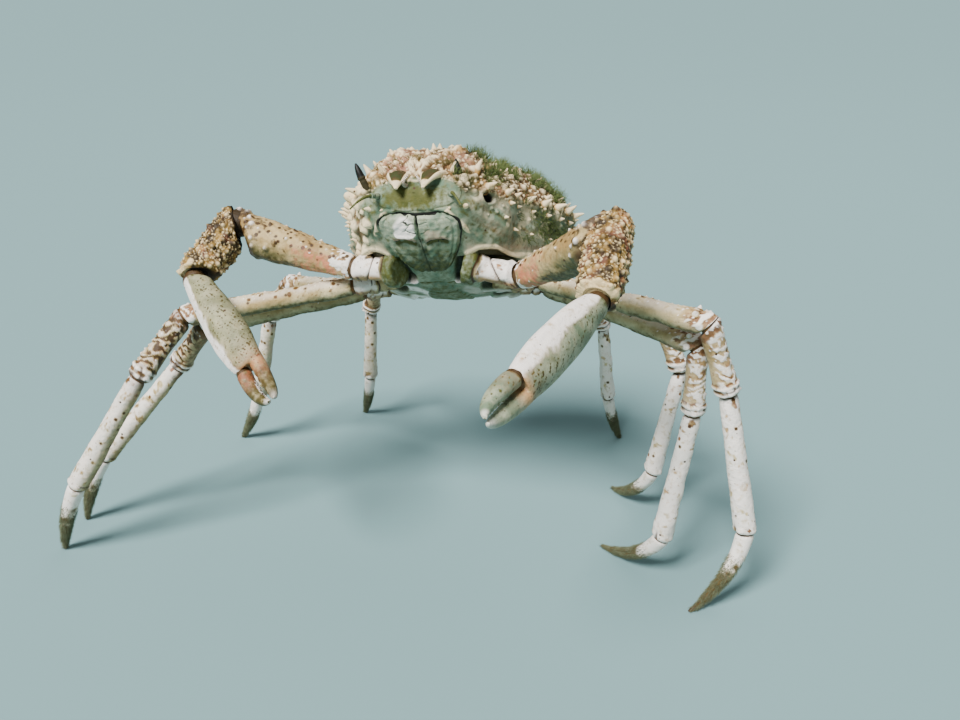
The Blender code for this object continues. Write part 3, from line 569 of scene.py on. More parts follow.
# -------- limb tubes
class Tube:
    """A limb segment: ellipses along a path, its two ends lying in given planes."""

    def __init__(
        self, path, section, up, start_normal, end_normal, start_gap=GAP / 2, end_gap=GAP / 2, ends=None
    ):
        self.path, self.section, self.up = path, section, np.array(up, float)
        self.start_normal, self.end_normal = start_normal, end_normal
        start, end = ends if ends is not None else path(np.array([0.0, 1.0]))
        self.start = start + start_normal * start_gap
        self.end = end - end_normal * end_gap
        knots = path(np.linspace(0, 1, 21))
        self.length = np.linalg.norm(np.diff(knots, axis=0), axis=1).sum()
        self.start_reach = self.reach(0.0, start_normal)
        self.end_reach = self.reach(1.0, end_normal)

    def reach(self, t, normal):
        way = self.axes(np.array([t]))[0][0]
        thick = self.section(np.array([t])).max()
        steep = thick * np.linalg.norm(np.cross(way, normal)) / max(dot(way, normal), 0.2)
        return min(0.85, (0.8 * thick + 2.2 * steep) / self.length)

    def axes(self, t):
        step = 0.01
        tangent = unit(self.path(np.minimum(t + step, 1)) - self.path(np.maximum(t - step, 0)))
        back = unit(self.up - tangent * dot(tangent, self.up)[:, None])
        return tangent, back, np.cross(tangent, back)

    def grid(self, t, angle):
        """Points at every t (rows) and angle (columns)."""
        tangent, back, side = (v[:, None] for v in self.axes(t))
        high, wide = (v[:, None, None] for v in self.section(t).T)
        turn = angle[:, None]
        points = self.path(t)[:, None] + back * high * np.cos(turn) + side * wide * np.sin(turn)
        for far, reach, origin, normal in (
            (t, self.start_reach, self.start, self.start_normal),
            (1 - t, self.end_reach, self.end, -self.end_normal),
        ):
            share = np.maximum(1 - far / reach, 0)[:, None]
            gap = (points - origin) @ normal
            lean = np.maximum(-gap * share**2 * (3 - 2 * share), 0.12 * (far * self.length)[:, None] - gap)
            lean = np.where(share > 0, lean / (tangent @ normal), 0)
            points = points + tangent * lean[..., None]
        return points

    def skin(self, step, least=24):
        """The tube's fine grid; t, angle and the distances from its end planes are kept on it."""
        rows = max(least, round(self.length / step))
        girth = 2 * math.pi * self.section(np.linspace(0, 1, 9)).mean()
        columns = max(least, round(girth / step))
        t = np.linspace(0, 1, rows)
        angle = circle(columns)
        skin = Skin(self.grid(t, angle)).face_away_from(self.path(t)[:, None])
        skin.t, skin.angle = lattice(t, angle)
        skin.from_start = (skin.points - self.start) @ self.start_normal
        skin.from_end = (self.end - skin.points) @ self.end_normal
        return skin


def straight(start, end):
    return lambda t: start + (end - start) * t[:, None]


def bent(start, middle, end):
    def curve(t):
        t = t[:, None]
        return start * (1 - t) ** 2 + middle * 2 * t * (1 - t) + end * t**2

    return curve


def scaled(outline, radius, flat=1.0):
    return lambda t: along(outline, t) * np.array([radius, radius * flat])


def free_tube(corners, outline, radius, flat=1.0, side=1):
    """A tube of the head, bent at a corner of the body's frame, and mirrored where side is -1."""
    path = bent(*(to_world(np.array(corner) * (side, 1, 1)) for corner in corners))
    ends = path(np.array([0.0, 0.02, 0.98, 1.0]))
    first, last = unit(ends[1] - ends[0]), unit(ends[3] - ends[2])
    return Tube(path, scaled(outline, radius, flat), BODY[:3, 2], first, last, 0, 0)


# -------- materials
class Graph:
    """A node material under construction."""

    def __init__(self, name):
        self.material = bpy.data.materials.new(name)
        self.material.use_nodes = True
        self.nodes, self.links = self.material.node_tree.nodes, self.material.node_tree.links
        self.shader = self.nodes["Principled BSDF"]
        self.place = self.nodes.new("ShaderNodeTexCoord").outputs["Object"]

    def node(self, kind, inputs=(), **settings):
        node = self.nodes.new(kind)
        for key, value in settings.items():
            setattr(node, key, value)
        for key, value in dict(inputs).items():
            if isinstance(value, bpy.types.NodeSocket):
                self.links.new(value, node.inputs[key])
            else:
                node.inputs[key].default_value = value
        return node

    def mark(self, name):
        return self.node("ShaderNodeAttribute", attribute_name=name).outputs["Fac"]

    def noise(self, size, detail=4.0, roughness=0.6):
        """Noise with lumps of that many millimetres."""
        values = {"Vector": self.place, "Scale": 1000 / size, "Detail": detail, "Roughness": roughness}
        return self.node("ShaderNodeTexNoise", values).outputs["Fac"]

    def spread(self, value, low, high):
        """0 at low and 1 at high, with a smooth step between."""
        values = {"Value": value, "From Min": low, "From Max": high}
        return self.node("ShaderNodeMapRange", values, interpolation_type="SMOOTHSTEP").outputs["Result"]

    def patches(self, size, low, high):
        return self.spread(self.noise(size), low, high)

    def between(self, value, low, high):
        """Low where the value is 0 and high where it is 1."""
        values = {"Value": value, "To Min": low, "To Max": high}
        return self.node("ShaderNodeMapRange", values).outputs["Result"]

    def times(self, a, b):
        return self.node("ShaderNodeMath", {0: a, 1: b}, operation="MULTIPLY").outputs[0]

    def plus(self, a, b):
        return self.node("ShaderNodeMath", {0: a, 1: b}, operation="ADD").outputs[0]

    def mix(self, share, a, b):
        """From a to b by share; either is a socket or an 8-bit sRGB colour."""
        a, b = (c if isinstance(c, bpy.types.NodeSocket) else srgb(*c) for c in (a, b))
        return self.node("ShaderNodeMix", {"Factor": share, 6: a, 7: b}, data_type="RGBA").outputs[2]

    def dots(self, size, radius, rarity):
        """Scattered round dots, as a mask."""
        values = {"Vector": self.place, "Scale": 1000 / size, "Randomness": 1.0}
        cell = self.node("ShaderNodeTexVoronoi", values).outputs
        chance = self.node("ShaderNodeSeparateColor", {0: cell["Color"]}).outputs[0]
        edge = self.spread(cell["Distance"], radius, radius * 0.55)
        return self.times(edge, self.spread(chance, rarity, rarity + 0.05))

    def finish(self, colour, roughness, bump, strength, depth=0.3, shine=0.5):
        values = {"Height": bump, "Strength": strength, "Distance": depth * MM}
        bumped = self.node("ShaderNodeBump", values)
        self.links.new(colour, self.shader.inputs["Base Color"])
        self.links.new(roughness, self.shader.inputs["Roughness"])
        self.links.new(bumped.outputs["Normal"], self.shader.inputs["Normal"])
        self.shader.inputs["Specular IOR Level"].default_value = shine
        return self.material


# For each kind of shell: two base colours, those of stain, blush, knob and dark, how rare its dots are, and
# its roughness from and to. The stain and dark colours also serve painted shade.
LOOKS = {
    "back": (
        (200, 162, 98), (156, 114, 54), (82, 58, 26), (206, 150, 124), (238, 216, 174), NIGHT,
        0.8, (0.5, 0.85),
    ),
    "face": (SAGE, STONE, OLIVE, (196, 140, 116), WHITE, NIGHT, 0.98, (0.4, 0.65)),
    "claw": (
        (188, 162, 112), (150, 120, 70), (70, 50, 24), (198, 110, 84), WHITE, UMBER, 0.7, (0.35, 0.6),
    ),
    "wrist": (
        (160, 126, 62), (114, 86, 36), (52, 38, 16), (196, 116, 90), (224, 198, 148), NIGHT,
        0.8, (0.4, 0.7),
    ),
    "leg": (BONE, SAND, (98, 66, 28), (212, 152, 126), WHITE, UMBER, 0.8, (0.4, 0.65)),
}


def shell_ground(g, light, shade, stain):
    """The shell's cloudy colour, greener where it is smooth, that green partly its own colour and partly
    painted shade, and its fine grain.
    """
    base = g.mix(g.patches(14, 0.38, 0.62), light, shade)
    smooth = g.mix(g.patches(9, 0.38, 0.6), SAGE, STONE)
    smooth = g.mix(g.times(g.patches(4.5, 0.5, 0.72), 0.5), smooth, OLIVE)
    base = g.mix(g.mark("face"), base, smooth)
    grain = g.noise(1.6, 5.0, 0.7)
    return g.mix(g.times(g.spread(grain, 0.5, 0.75), 0.4), base, stain)


def shell_material(kind):
    light, shade, stain, blush, knob, dark, rarity, rough = LOOKS[kind]
    g = Graph("shell_" + kind)
    base = shell_ground(g, light, shade, stain)
    # The stain mark holds real stains and also painted shade on what faces down, in hollows and under parts.
    stain_and_shade_colour = g.mix(g.mark("face"), stain, OLIVE)
    stain_and_shade_mask = g.plus(g.mark("stain"), g.times(g.plus(g.noise(3.2), -0.5), 1.2))
    base = g.mix(g.times(g.spread(stain_and_shade_mask, 0.25, 0.75), g.spread(g.mark("stain"), 0.02, 0.3)), base, stain_and_shade_colour)
    base = g.mix(g.times(g.mark("blush"), g.patches(2.5, 0.25, 0.55)), base, blush)
    # The moss mark holds real moss and also painted shade on undersides.
    base = g.mix(g.times(g.mark("moss"), g.patches(4.5, 0.3, 0.62)), base, MOSS)
    tipped = g.times(g.spread(g.mark("knob"), 0.25, 0.85), g.patches(4.0, 0.2, 0.5))
    base = g.mix(tipped, base, knob)
    base = g.mix(g.dots(5.5, 0.17, rarity), base, UMBER)
    base = g.mix(g.times(g.dots(2.4, 0.2, rarity), 0.75), base, stain)
    # The dark mark holds dark joints and cracks, and also painted shade in hollows, gaps and seams.
    base = g.mix(g.spread(g.mark("dark"), 0.05, 0.9), base, dark)
    fine = g.plus(g.noise(0.7, 3.0), g.times(g.noise(2.4, 3.0), 1.5))
    return g.finish(base, g.between(g.noise(2.0), *rough), fine, 0.65, 0.45, shine=0.3)


def hair_material(name, root, tip):
    """Setae, felt or weed, darker at the root."""
    g = Graph(name)
    base = g.mix(g.patches(6.0, 0.3, 0.7), root, tip)
    base = g.mix(g.spread(g.mark("knob"), 0.2, 1.0), base, tip)
    return g.finish(base, g.between(g.noise(1.0), *HAIR_ROUGHNESS), g.noise(0.5), 0.3, shine=0.2)


def eye_material():
    g = Graph("eye")
    base = g.mix(g.spread(g.mark("dark"), 0.2, 0.7), (54, 48, 26), (14, 14, 10))
    base = g.mix(g.times(g.patches(1.8, 0.45, 0.65), 0.5), base, (34, 34, 20))
    facets = g.node("ShaderNodeTexVoronoi", {"Vector": g.place, "Scale": 1000 / 0.35}).outputs["Distance"]
    return g.finish(base, g.between(g.mark("dark"), 0.75, 0.5), facets, 0.25, 0.1, shine=0.25)


MATERIALS = {kind: shell_material(kind) for kind in LOOKS}
MATERIALS["eye"] = eye_material()
MATERIALS["setae"] = hair_material("setae", (84, 74, 38), (150, 136, 88))
MATERIALS["felt"] = hair_material("felt", (66, 68, 44), (122, 126, 96))
MATERIALS["weed"] = hair_material("weed", (44, 58, 26), (98, 110, 60))


# -------- trunk
def region_height(x, y):
    """How far the swellings and furrows raise the back."""
    total = 0
    for rx, ry, h, sx, sy in REGIONS:
        total = total + h * np.exp(-(((np.abs(x) - rx) / sx) ** 2) - ((y - ry) / sy) ** 2)
    return total


def body_grid(y, angle):
    """Points of the shell in the body's frame; angle 0 is the top and 90 degrees the left edge."""
    y, angle = np.broadcast_arrays(np.asarray(y, float), angle)
    half, top, edge, bottom = np.moveaxis(along(BODY_SECTIONS, y), -1, 0)
    sine, cosine = np.sin(angle), np.cos(angle)
    above = cosine > 0
    power = np.where(above, 2 / DORSAL_POWER, 2 / VENTRAL_POWER)
    x = half * np.sign(sine) * np.abs(sine) ** power
    rise = np.where(above, top - edge, edge - bottom)
    z = edge + rise * np.sign(cosine) * np.abs(cosine) ** power
    z = z + np.where(above, region_height(x, y) * cosine, 0)
    return np.stack([x, y, z], -1)


def body_spot(y, angle):
    """A point of the shell and its normal, in the body's frame."""
    near = body_grid(np.array([[y - 1], [y], [y + 1]]), np.array([[angle - 0.03, angle, angle + 0.03]]))
    normal = unit(np.cross(near[1, 2] - near[1, 0], near[2, 1] - near[0, 1]))
    return near[1, 1], normal if dot(normal, near[1, 1] - (0, y, 0)) > 0 else -normal


def trunk_skin():
    """The whole trunk with rounded ends, with its places in the body's frame."""
    angle = circle(TRUNK_COLUMNS)[None]
    stations = np.linspace(FRONT_Y, HIND_Y, round((HIND_Y - FRONT_Y) / TRUNK_STEP))[:, None]
    middle = body_grid(stations, angle)
    swing = np.linspace(0.04, math.pi / 2, CAP_ROWS, endpoint=False)[:, None]

    def cap(ring, bulge):
        centre = ring.mean(0)
        points = centre + (ring - centre) * np.sin(swing)[..., None]
        points[..., 1] += bulge * np.cos(swing)
        return points

    front, hind = cap(middle[0], -FRONT_BULGE), cap(middle[-1], HIND_BULGE)[::-1]
    local = np.concatenate([front, middle, hind])
    skin = Skin(to_world(local)).face_away_from(to_world((0, 5, 0)))
    skin.local = local
    skin.angle = np.broadcast_to(np.degrees(np.minimum(angle, 2 * math.pi - angle)), skin.shape)
    return skin


def line_distance(points, line):
    """Distance of every point from a line through corners."""
    best = np.full(points.shape[:-1], 1e9)
    corners = np.array(line, float)
    for a, b in zip(corners[:-1], corners[1:]):
        share = np.clip(dot(points - a, b - a) / dot(b - a, b - a), 0, 1)[..., None]
        best = np.minimum(best, np.linalg.norm(points - a - (b - a) * share, axis=-1))
    return best


# Lines of the face in the body's frame, on the crab's left: upper lip, ridge off its corner, cheek ridges.
LIP_LINE = ((0, -66, -8.5), (9.5, -65, -7.6), (17.8, -63.7, -8.1), (21.5, -61.5, -12), (24.2, -57, -18))
MOUTH_EDGE = ((22.4, -58, -17), (21.2, -48.7, -21), (20.8, -42.5, -25.5), (22, -33, -31))
CORNER_RIDGE = ((17.5, -64.5, -6), (23, -59, -10), (28, -51, -17.5))
CHEEK_RIDGES = (
    ((27, -60, -3), (36, -50, -8), (46, -36, -12), (56, -14, -13), (66, 14, -11)),
    ((28, -52, -16), (38, -38, -22), (50, -16, -22), (60, 10, -20)),
)
FOREHEAD_RIDGES = (
    ((0, -61, 19), (10, -52, 29), (19, -45, 34)),
    ((0, -66, 14), (3.5, -64, 17), (5, -58, 22)),
)
BROW_LINE = ((0, -68, 9), (14, -67, 10), (24, -64, 12), (32, -58, 13))
PIT, ORBIT = (38.5, -53.5, 2.5), (29, -62, 6)
STERNUM_SEAMS = (-17, 6, 26, 45)


def split_height(points):
    """Height of points above the plane that parts carapace and sternum, in the body's frame."""
    slope = math.atan(SPLIT_SLOPE)
    rise = (points[..., 2] - SPLIT_FRONT_Z) * math.cos(slope)
    return rise - (points[..., 1] - SPLIT_FRONT_Y) * math.sin(slope)


# Height of the pale rim that arches over a claw's socket, at distances from the middle of the body.
SOCKET_ARCH = ((21, -27.5), (30, -23.8), (38.6, -22.0), (45.8, -24.4), (56, -26.5))


def arch_sockets(skin):
    """The pale edge of the carapace over the claws' sockets, with painted shadow under it."""
    x, y, z = axes_of(skin.local)
    wide = np.abs(x)
    above = z - np.interp(wide, *np.array(SOCKET_ARCH).T)
    arch = ramp(20, 24, wide) * ramp(56, 46, wide) * ramp(8, 0, y) * (split_height(skin.local) > -3)
    below = arch * ramp(0.2, -1.2, above)
    rim = arch * bell(above - 1.3, 1.0)
    skin.height += 1.0 * rim - 1.8 * below
    skin.clear(below, "knob", "blush")
    skin.clear(rim, "stain", "moss", "dark")
    # Painted shadow: stain and dark under the arch.
    skin.paint(knob=1.3 * rim, stain=below, dark=0.6 * below)


def stain_and_shade_below(skin, seed, share=1.0):
    """Olive-brown on what faces down, partly its own colour and partly painted shade, and uneven stains all
    over.
    """
    # Painted shade, partly: darker and mossier where the surface faces down.
    down = ramp(0.15, -0.75, skin.normals[..., 2])
    patches = ramp(0.5, 1.3, skin.wave(9, seed) + 0.6 * skin.wave(3.2, seed + 1))
    skin.clear(np.maximum(0.85 * down, 0.7 * patches), "knob")
    skin.paint(moss=share * 0.5 * down, stain=share * np.maximum(0.62 * down, 0.55 * patches))


def carve_face(skin):
    """Lips, ridges, orbits, pits and colours of the front and the cheeks, with painted shade in the orbits and
    pits.
    """
    x, _, z = axes_of(skin.local)
    half = mirrored(skin.local)
    wave = 0.5 * skin.wave(7, 21)
    lip = line_distance(half, LIP_LINE) + wave
    skin.line(lip, -1.2, 0.7, dark=(1.1, 0.5))
    skin.line(lip - 2.0, 0.8, 1.2, ramp(-12, -7, z))
    edge = line_distance(half, MOUTH_EDGE) + wave
    skin.line(edge, -1.0, 0.9)
    skin.paint(dark=bell(edge, 0.6) * np.where(x > 0, 1.0, 0.25))
    corner = line_distance(half, CORNER_RIDGE)
    skin.line(corner, 1.9, 1.5)
    skin.paint(knob=1.4 * bell(corner, 1.5) * ramp(-1.2, 0.0, skin.wave(5, 22)))
    for ridge, tall in zip(CHEEK_RIDGES, (1.3, 1.0)):
        far = line_distance(half, ridge) + wave
        skin.line(far, tall, 2.2)
        skin.paint(knob=0.6 * bell(far, 2.0) * ramp(-0.5, 0.5, skin.wave(8, 23)))
        skin.paint(stain=0.5 * bell(far - 4.5, 2.0))
    skin.line(line_distance(half, BROW_LINE), 1.2, 1.6, knob=(0.6, 1.3))
    # Painted shade: olive and dark in the hollow of the orbit.
    skin.line(distance(half, ORBIT), -3.2, 5.0, moss=(1.0, 8.0), dark=(0.85, 5.0))
    # The pit is painted dark inside as shade.
    pit = distance(half, PIT, (1, 2, 1))
    skin.height += 0.8 * bell(pit - 3.7, 0.9) - 4.0 * ramp(3.4, 1.4, pit)
    skin.paint(dark=ramp(3.3, 2.4, pit), knob=0.4 * bell(pit - 5.0, 3.0) * ramp(3.0, 4.0, pit))


def carve_sockets(skin, limbs):
    """Rims and hollows where the limbs leave the trunk, with painted shade in the hollows."""
    for limb in limbs:
        joints = joints_of(limb)
        way = unit(joints[1] - joints[0])
        claw = limb in REACH
        radius = CLAW_ISCHIUM_RADIUS * 1.6 if claw else LEG_RADIUS[kind_of(limb)]
        rel = skin.points - joints[0]
        ahead = rel @ way
        near = ramp(-13, -10, ahead) * ramp(14 if claw else 24, 10 if claw else 22, ahead)
        if claw:
            near = near * ramp(1.6, 0.8, split_height(skin.local))
        far = np.linalg.norm(rel - ahead[..., None] * way, axis=-1)
        skin.height += near * (2.6 * bell(far - radius - 2.8, 1.5) - 3.0 * ramp(radius + 1.6, radius, far))
        skin.clear(near * ramp(radius + 4, radius + 2, far), "knob")
        rim = near * bell(far - radius - 2.8, 1.7)
        skin.clear(rim, "moss", "stain", "blush")
        skin.paint(knob=rim * (1.3 if claw else 0.6))
        # Painted shade: moss and dark in the hollow round each limb's root.
        hollow = near * ramp(radius + 1.9, radius + 1.1, far)
        skin.paint(moss=0.6 * hollow)
        skin.paint(dark=0.7 * near * ramp(radius + 4, radius + 1, far) if claw else 0.55 * hollow)
        below = bell(far - radius - 5.6, 1.2) if claw else ramp(radius + 6, radius + 4, far)
        skin.paint(stain=near * 0.7 * below * ramp(radius + 3, radius + 4, far))


def cover_mouth(skin):
    """Paints shade on the trunk under the covers of the mouth, so that their joints read dark."""
    matrix = plate_matrix(MOUTH_START, MOUTH_END)
    flat = (to_world(skin.local) - matrix[:3, 3]) @ matrix[:3, :3]
    half = along(MAXILLIPED_HALF, flat[..., 1])[..., 0]
    inside = ramp(0.9, 0.3, np.abs(flat[..., 0]) - half)
    inside = inside * ramp(-0.6, 0.0, flat[..., 1]) * ramp(46, 44, flat[..., 1])
    skin.clear(inside, "knob")
    last = np.where(flat[..., 0] > 0, 36, 12)
    # Painted shade in the gaps between the covers.
    skin.paint(dark=inside * (flat[..., 2] > -14) * ramp(last, last - 8, flat[..., 1]))


def dress_trunk(skin):
    """Height and marks of the whole trunk."""
    x, y, z = axes_of(skin.local)
    soft = skin.wave(9, 5)
    skin.top = ramp(90, 80, skin.angle + 3 * soft) * ramp(-68.2, -63.5, y + (z - 10) * 0.25)
    skin.paint(face=1 - skin.top)
    skin.rough(3, (16, 0.35), (5, 0.18))
    tint_front(skin, soft)
    carve_face(skin)
    carve_edge(skin)
    carve_sockets(skin, [*REACH, *STANCE])
    arch_sockets(skin)
    cover_mouth(skin)
    below = ramp(150, 165, skin.angle)
    for station in STERNUM_SEAMS:
        skin.line(y - station - 0.12 * np.abs(x), -0.8, 0.8, below, stain=(0.7, 1.2))
    for ridge in FOREHEAD_RIDGES:
        skin.line(line_distance(mirrored(skin.local), ridge), 1.8, 1.6, knob=(1.3, 1.6))
    cover_back(skin, soft)
    cover_margin(skin)
    grow_moss(skin, soft)
    return skin


def tint_front(skin, soft):
    """Pale and olive tints of the face and the cheeks."""
    x, bare = skin.local[..., 0], 1 - skin.top
    pale = ramp(-0.2, 0.7, skin.wave(15, 25)) * bare * ramp(150, 120, skin.angle)
    skin.paint(knob=pale * (0.34 + 0.2 * ramp(-10, -30, x) + 0.2 * ramp(14, 30, x)))
    olive = bell(distance(skin.local, (-3, -68, 1), (24, 12, 8.5)) + 0.08 * soft, 1.0)
    stain_and_shade_below(skin, 24, 0.55 * bare)
    skin.clear(ramp(0.5, 0.1, skin.angle / 90), "stain")
    cheek = ramp(22, 34, x) * ramp(130, 118, skin.angle) * bare * ramp(-1.0, 0.4, soft)
    skin.clear(0.6 * cheek, "stain")
    skin.paint(knob=0.22 * cheek, blush=0.2 * cheek)
    skin.clear(olive, "knob")
    skin.paint(stain=0.9 * olive, moss=0.6 * olive)


def carve_edge(skin):
    """The carapace's lower edge: its seam with painted shadow in it, the pale rim on it and the paler shell
    over that.
    """
    x, y, _ = axes_of(skin.local)
    seam = split_height(skin.local)
    side = ramp(20, 27, np.abs(x) + 0.5 * np.maximum(y + 30, 0))
    rim = side * bell(seam - 2.2, 1.8)
    glow = side * ramp(16, 4, seam) * ramp(-0.9, 0.6, skin.wave(12, 29)) * (1 - skin.top)
    skin.clear(0.9 * glow, "stain")
    skin.paint(knob=(0.8 - 0.35 * (x > 0)) * glow, blush=0.25 * glow)
    skin.clear(rim, "stain", "moss")
    skin.paint(knob=1.3 * rim * ramp(-1.5, -0.3, skin.wave(10, 26)))
    skin.paint(blush=0.4 * side * bell(seam - 6.0, 2.2))
    skin.line(seam - 2.0, 1.1, 1.4, side)
    # Painted shadow in the seam's gap.
    skin.line(seam, -1.5, 0.6, side, dark=(1.1, 0.55))


def cover_back(skin, soft):
    """Crowded tubercles with ochre or cream between them, darkened there with painted shade, then granules."""
    top = skin.top
    pallor = ramp(0.5, -0.9, (skin.local[..., 0] + 8) / 40 + 0.5 * skin.wave(24, 28))
    skin.paint(stain=top * (0.75 - 0.35 * pallor + 0.2 * soft))
    # Painted shade between the tubercles, taken off them further on.
    skin.paint(dark=top * 0.45 * (1 - 0.5 * pallor) * ramp(0.0, 1.0, skin.wave(6, 27)))
    skin.knobs(11, 420, 2.0, 3.6, top, tall=0.75, profile=lump, share=1.2, spread=0.7)
    bare = top * (skin.bumps < 0.3)
    skin.knobs(12, 1200, 1.0, 1.9, bare, tall=0.9, profile=lump, share=1.2, spread=0.7)
    skin.knobs(13, 1700, 0.6, 1.0, top * (skin.bumps < 0.2), profile=bead, share=0.6)
    skin.clear(top * skin.marks["knob"], "dark")
    skin.paint(knob=top * 0.3 * pallor)


def cover_margin(skin):
    """Small tubercles under the margin, and the crowded pale lobe in front of it on the right."""
    x, y, _ = axes_of(skin.local)
    fringe = ramp(118, 90, skin.angle) * (1 - skin.top) * ramp(-60, -50, y)
    skin.knobs(14, 120, 0.8, 1.7, fringe, tall=0.7, share=0.8)
    lobes = ramp(132, 118, skin.angle) * ramp(66, 76, skin.angle) * ramp(-61, -56, y) * ramp(-12, -22, y)
    lobes = lobes * ramp(-18, -24, x)
    skin.paint(stain=0.8 * lobes, dark=0.35 * lobes)
    skin.knobs(15, 70, 2.2, 4.4, lobes, profile=lump, share=2.2, spread=0.4)
    skin.clear(lobes * skin.marks["knob"], "stain", "dark")
    skin.paint(blush=0.3 * lobes)


def grow_moss(skin, soft):
    """Moss on the left hind part of the back and under the left margin, and a flush towards the front."""
    x, y, _ = axes_of(skin.local)
    top = skin.top
    skin.paint(moss=np.clip(ramp(-30, 50, x + 0.6 * y) * top * (0.2 + 0.55 * skin.wave(30, 8)), 0, 1))
    under = (1 - top) * ramp(114, 98, skin.angle) * ramp(-28, -2, y) * ramp(0, 20, x)
    skin.paint(moss=under * (0.7 + 0.5 * soft))
    skin.paint(blush=top * np.clip(0.25 + 0.5 * skin.wave(34, 9), 0, 1) * ramp(20, -40, y))


# Widths of a sharp and of a worn spine, at places along it.
SPINE_PLACES = (-0.25, 0.0, 0.12, 0.5, 0.85, 1.0)
SHARP, BLUNT = (1.5, 1.25, 0.95, 0.62, 0.32, 0.12), (1.5, 1.3, 1.1, 0.95, 0.7, 0.3)
# Each margin spine and the two beside it: how far behind, angle, least and most length, girth, tilt.
MARGIN_ROWS = (
    (0, 82, 0.75, 0.95, 0.27, (0.2, -0.25, 0.1)),
    (5.5, 74, 0.35, 0.55, 0.17, (0.15, -0.1, 0.2)),
    (3, 91, 0.3, 0.45, 0.17, (0.15, -0.2, -0.1)),
)


def add_body_spines(piece, boxes):
    """The solids' own spines and tubercles, finer, with more between them."""
    rng = random.Random(3)

    def grow(y, angle, length, radius, tilt=(0, 0, 0), curve=None):
        base, normal = body_spot(y, math.radians(angle))
        axis = (normal + np.array(tilt)) @ BODY[:3, :3].T
        bend = rng.uniform(-0.12, 0.12)
        piece.put_spine(to_world(base), axis, length, radius, next(boxes), 12, 9, bend, curve)

    for side in (1, -1):
        for foot, way, length, radius in ORBIT_SPINES:
            base = np.array(foot, float) * (side, 1, 1)
            axis = np.array(way) * (side, 1, 1) @ BODY[:3, :3].T
            slim = 0.68 if radius < 4.5 else 0.5
            piece.put_spine(to_world(base), axis, length * 0.92, radius * slim, next(boxes), 14, 10)
        for y, length in MARGIN_SPINES:
            stain_and_shade_mask = side < 0 and y < -10
            curve, girth = (BLUNT, 1.45) if stain_and_shade_mask else (None, 1.0)
            for ahead, angle, short, tall, thick, tilt in MARGIN_ROWS:
                lean = (tilt[0] * side, *tilt[1:])
                size = length * rng.uniform(short, tall)
                grow(y + ahead, side * angle, size, thick * girth * length, lean, curve)
        for y, angle, length in CHEEK_SPINES:
            grow(y, side * angle, length * 0.8, 0.28 * length)
        for y in range(-44, 66, 10):
            grow(y, side * rng.uniform(20, 30), rng.uniform(2.8, 4.2), rng.uniform(1.4, 1.9))
            grow(y + 4, side * rng.uniform(44, 58), rng.uniform(2.8, 4.6), rng.uniform(1.4, 2.0))
    for y, length in MIDLINE_SPINES:
        grow(y, 0, length * 0.85, 0.38 * length)


def horn_skin(side):
    """A flattened horn of the rostrum with pale raised edges and a dark, hairy middle."""
    skin = free_tube(HORN_PATH, HORN, HORN_RADIUS, HORN_FLAT, side=side).skin(HORN_STEP)
    edge = np.abs(np.sin(skin.angle))
    hollow = ramp(0.9, 0.78, edge) * ramp(0.9, 0.74, skin.t)
    skin.height += (0.8 * ramp(0.88, 0.97, edge) - 2.0 * hollow) * (1 - skin.t)
    skin.paint(knob=1 - ramp(0.0, 0.5, hollow), dark=0.4 * ramp(0.4, 0.9, hollow))
    skin.paint(stain=ramp(0.1, 0.5, hollow), moss=ramp(0.1, 0.5, hollow))
    return skin


def build_trunk():
    skin = dress_trunk(trunk_skin())
    shell, floor, spines = Piece(), Piece(), Piece()
    boxes = cells(SPINE_BOXES)
    add_body_spines(spines, boxes)
    for side in (1, -1):
        spines.put_skin(horn_skin(side), next(boxes))
    shell.put_skin(skin, SKIN_BOX, keep=lambda q: split_height(to_body(q)) > 0)
    floor.put_skin(skin, keep=lambda q: split_height(to_body(q)) <= 0)
    shell.build("carapace_shell", "back", ["carapace"], "carapace")
    spines.build("carapace_spines", "back", ["carapace"], "carapace")
    floor.build("sternum_shell", "face", ["sternum"], "underside")
    return skin


# -------- limbs
def kind_of(limb):
    return limb.replace("_left", "").replace("_right", "")


def joints_of(limb):
    """Corners of a limb's line, from its root to its tip."""
    side = 1 if "_left" in limb else -1
    x, y, z = ROOTS[kind_of(limb)]
    lengths = LENGTHS[kind_of(limb)]
    points = [to_world((x * side, y, z))]
    ways = REACH[limb] if limb in REACH else STANCE[limb][:4]
    for length, way in zip(lengths, ways):
        points.append(points[-1] + heading(*way) * length)
    if limb in STANCE:
        last, length = points[-1], lengths[4]
        level = math.sqrt(length**2 - last[2] ** 2)
        points.append(last + heading(STANCE[limb][4], 0) * level - np.array([0, 0, last[2]]))
    return np.array(points)


def mitre(before, after):
    """Normal of the plane in which two segments meet."""
    return unit(unit(before) + unit(after))


def side_up(way):
    """What is up for a segment, however steep it stands."""
    flat = math.hypot(way[0], way[1])
    return (0, 0, 1) if flat > 0.2 * np.linalg.norm(way) else (1, 0, 0.2)


def round_ends(skin, start=LIP, end=LIP):
    """Turns the rims of a segment in, and darkens the joint between it and the next."""
    for far, lip in ((skin.from_start, start), (skin.from_end, end)):
        if lip:
            skin.height -= lip * (1 - bead(np.clip(1 - far / (1.8 * lip), 0, 1)))
            skin.paint(dark=0.9 * ramp(0.6 * lip, 0.0, far), stain=0.7 * ramp(lip + 1.6, 0.3, far))


def condyles(skin, radius, height=1.0):
    """The two pale bosses that carry a joint, at the sides of a segment's far end."""
    for a in (math.pi / 2, 3 * math.pi / 2):
        j = int(a / (2 * math.pi) * skin.shape[1])
        i = int(np.argmin(np.abs(skin.from_end[:, j] - radius - LIP * 0.8)))
        skin.emboss(i, j, radius, height, bead)


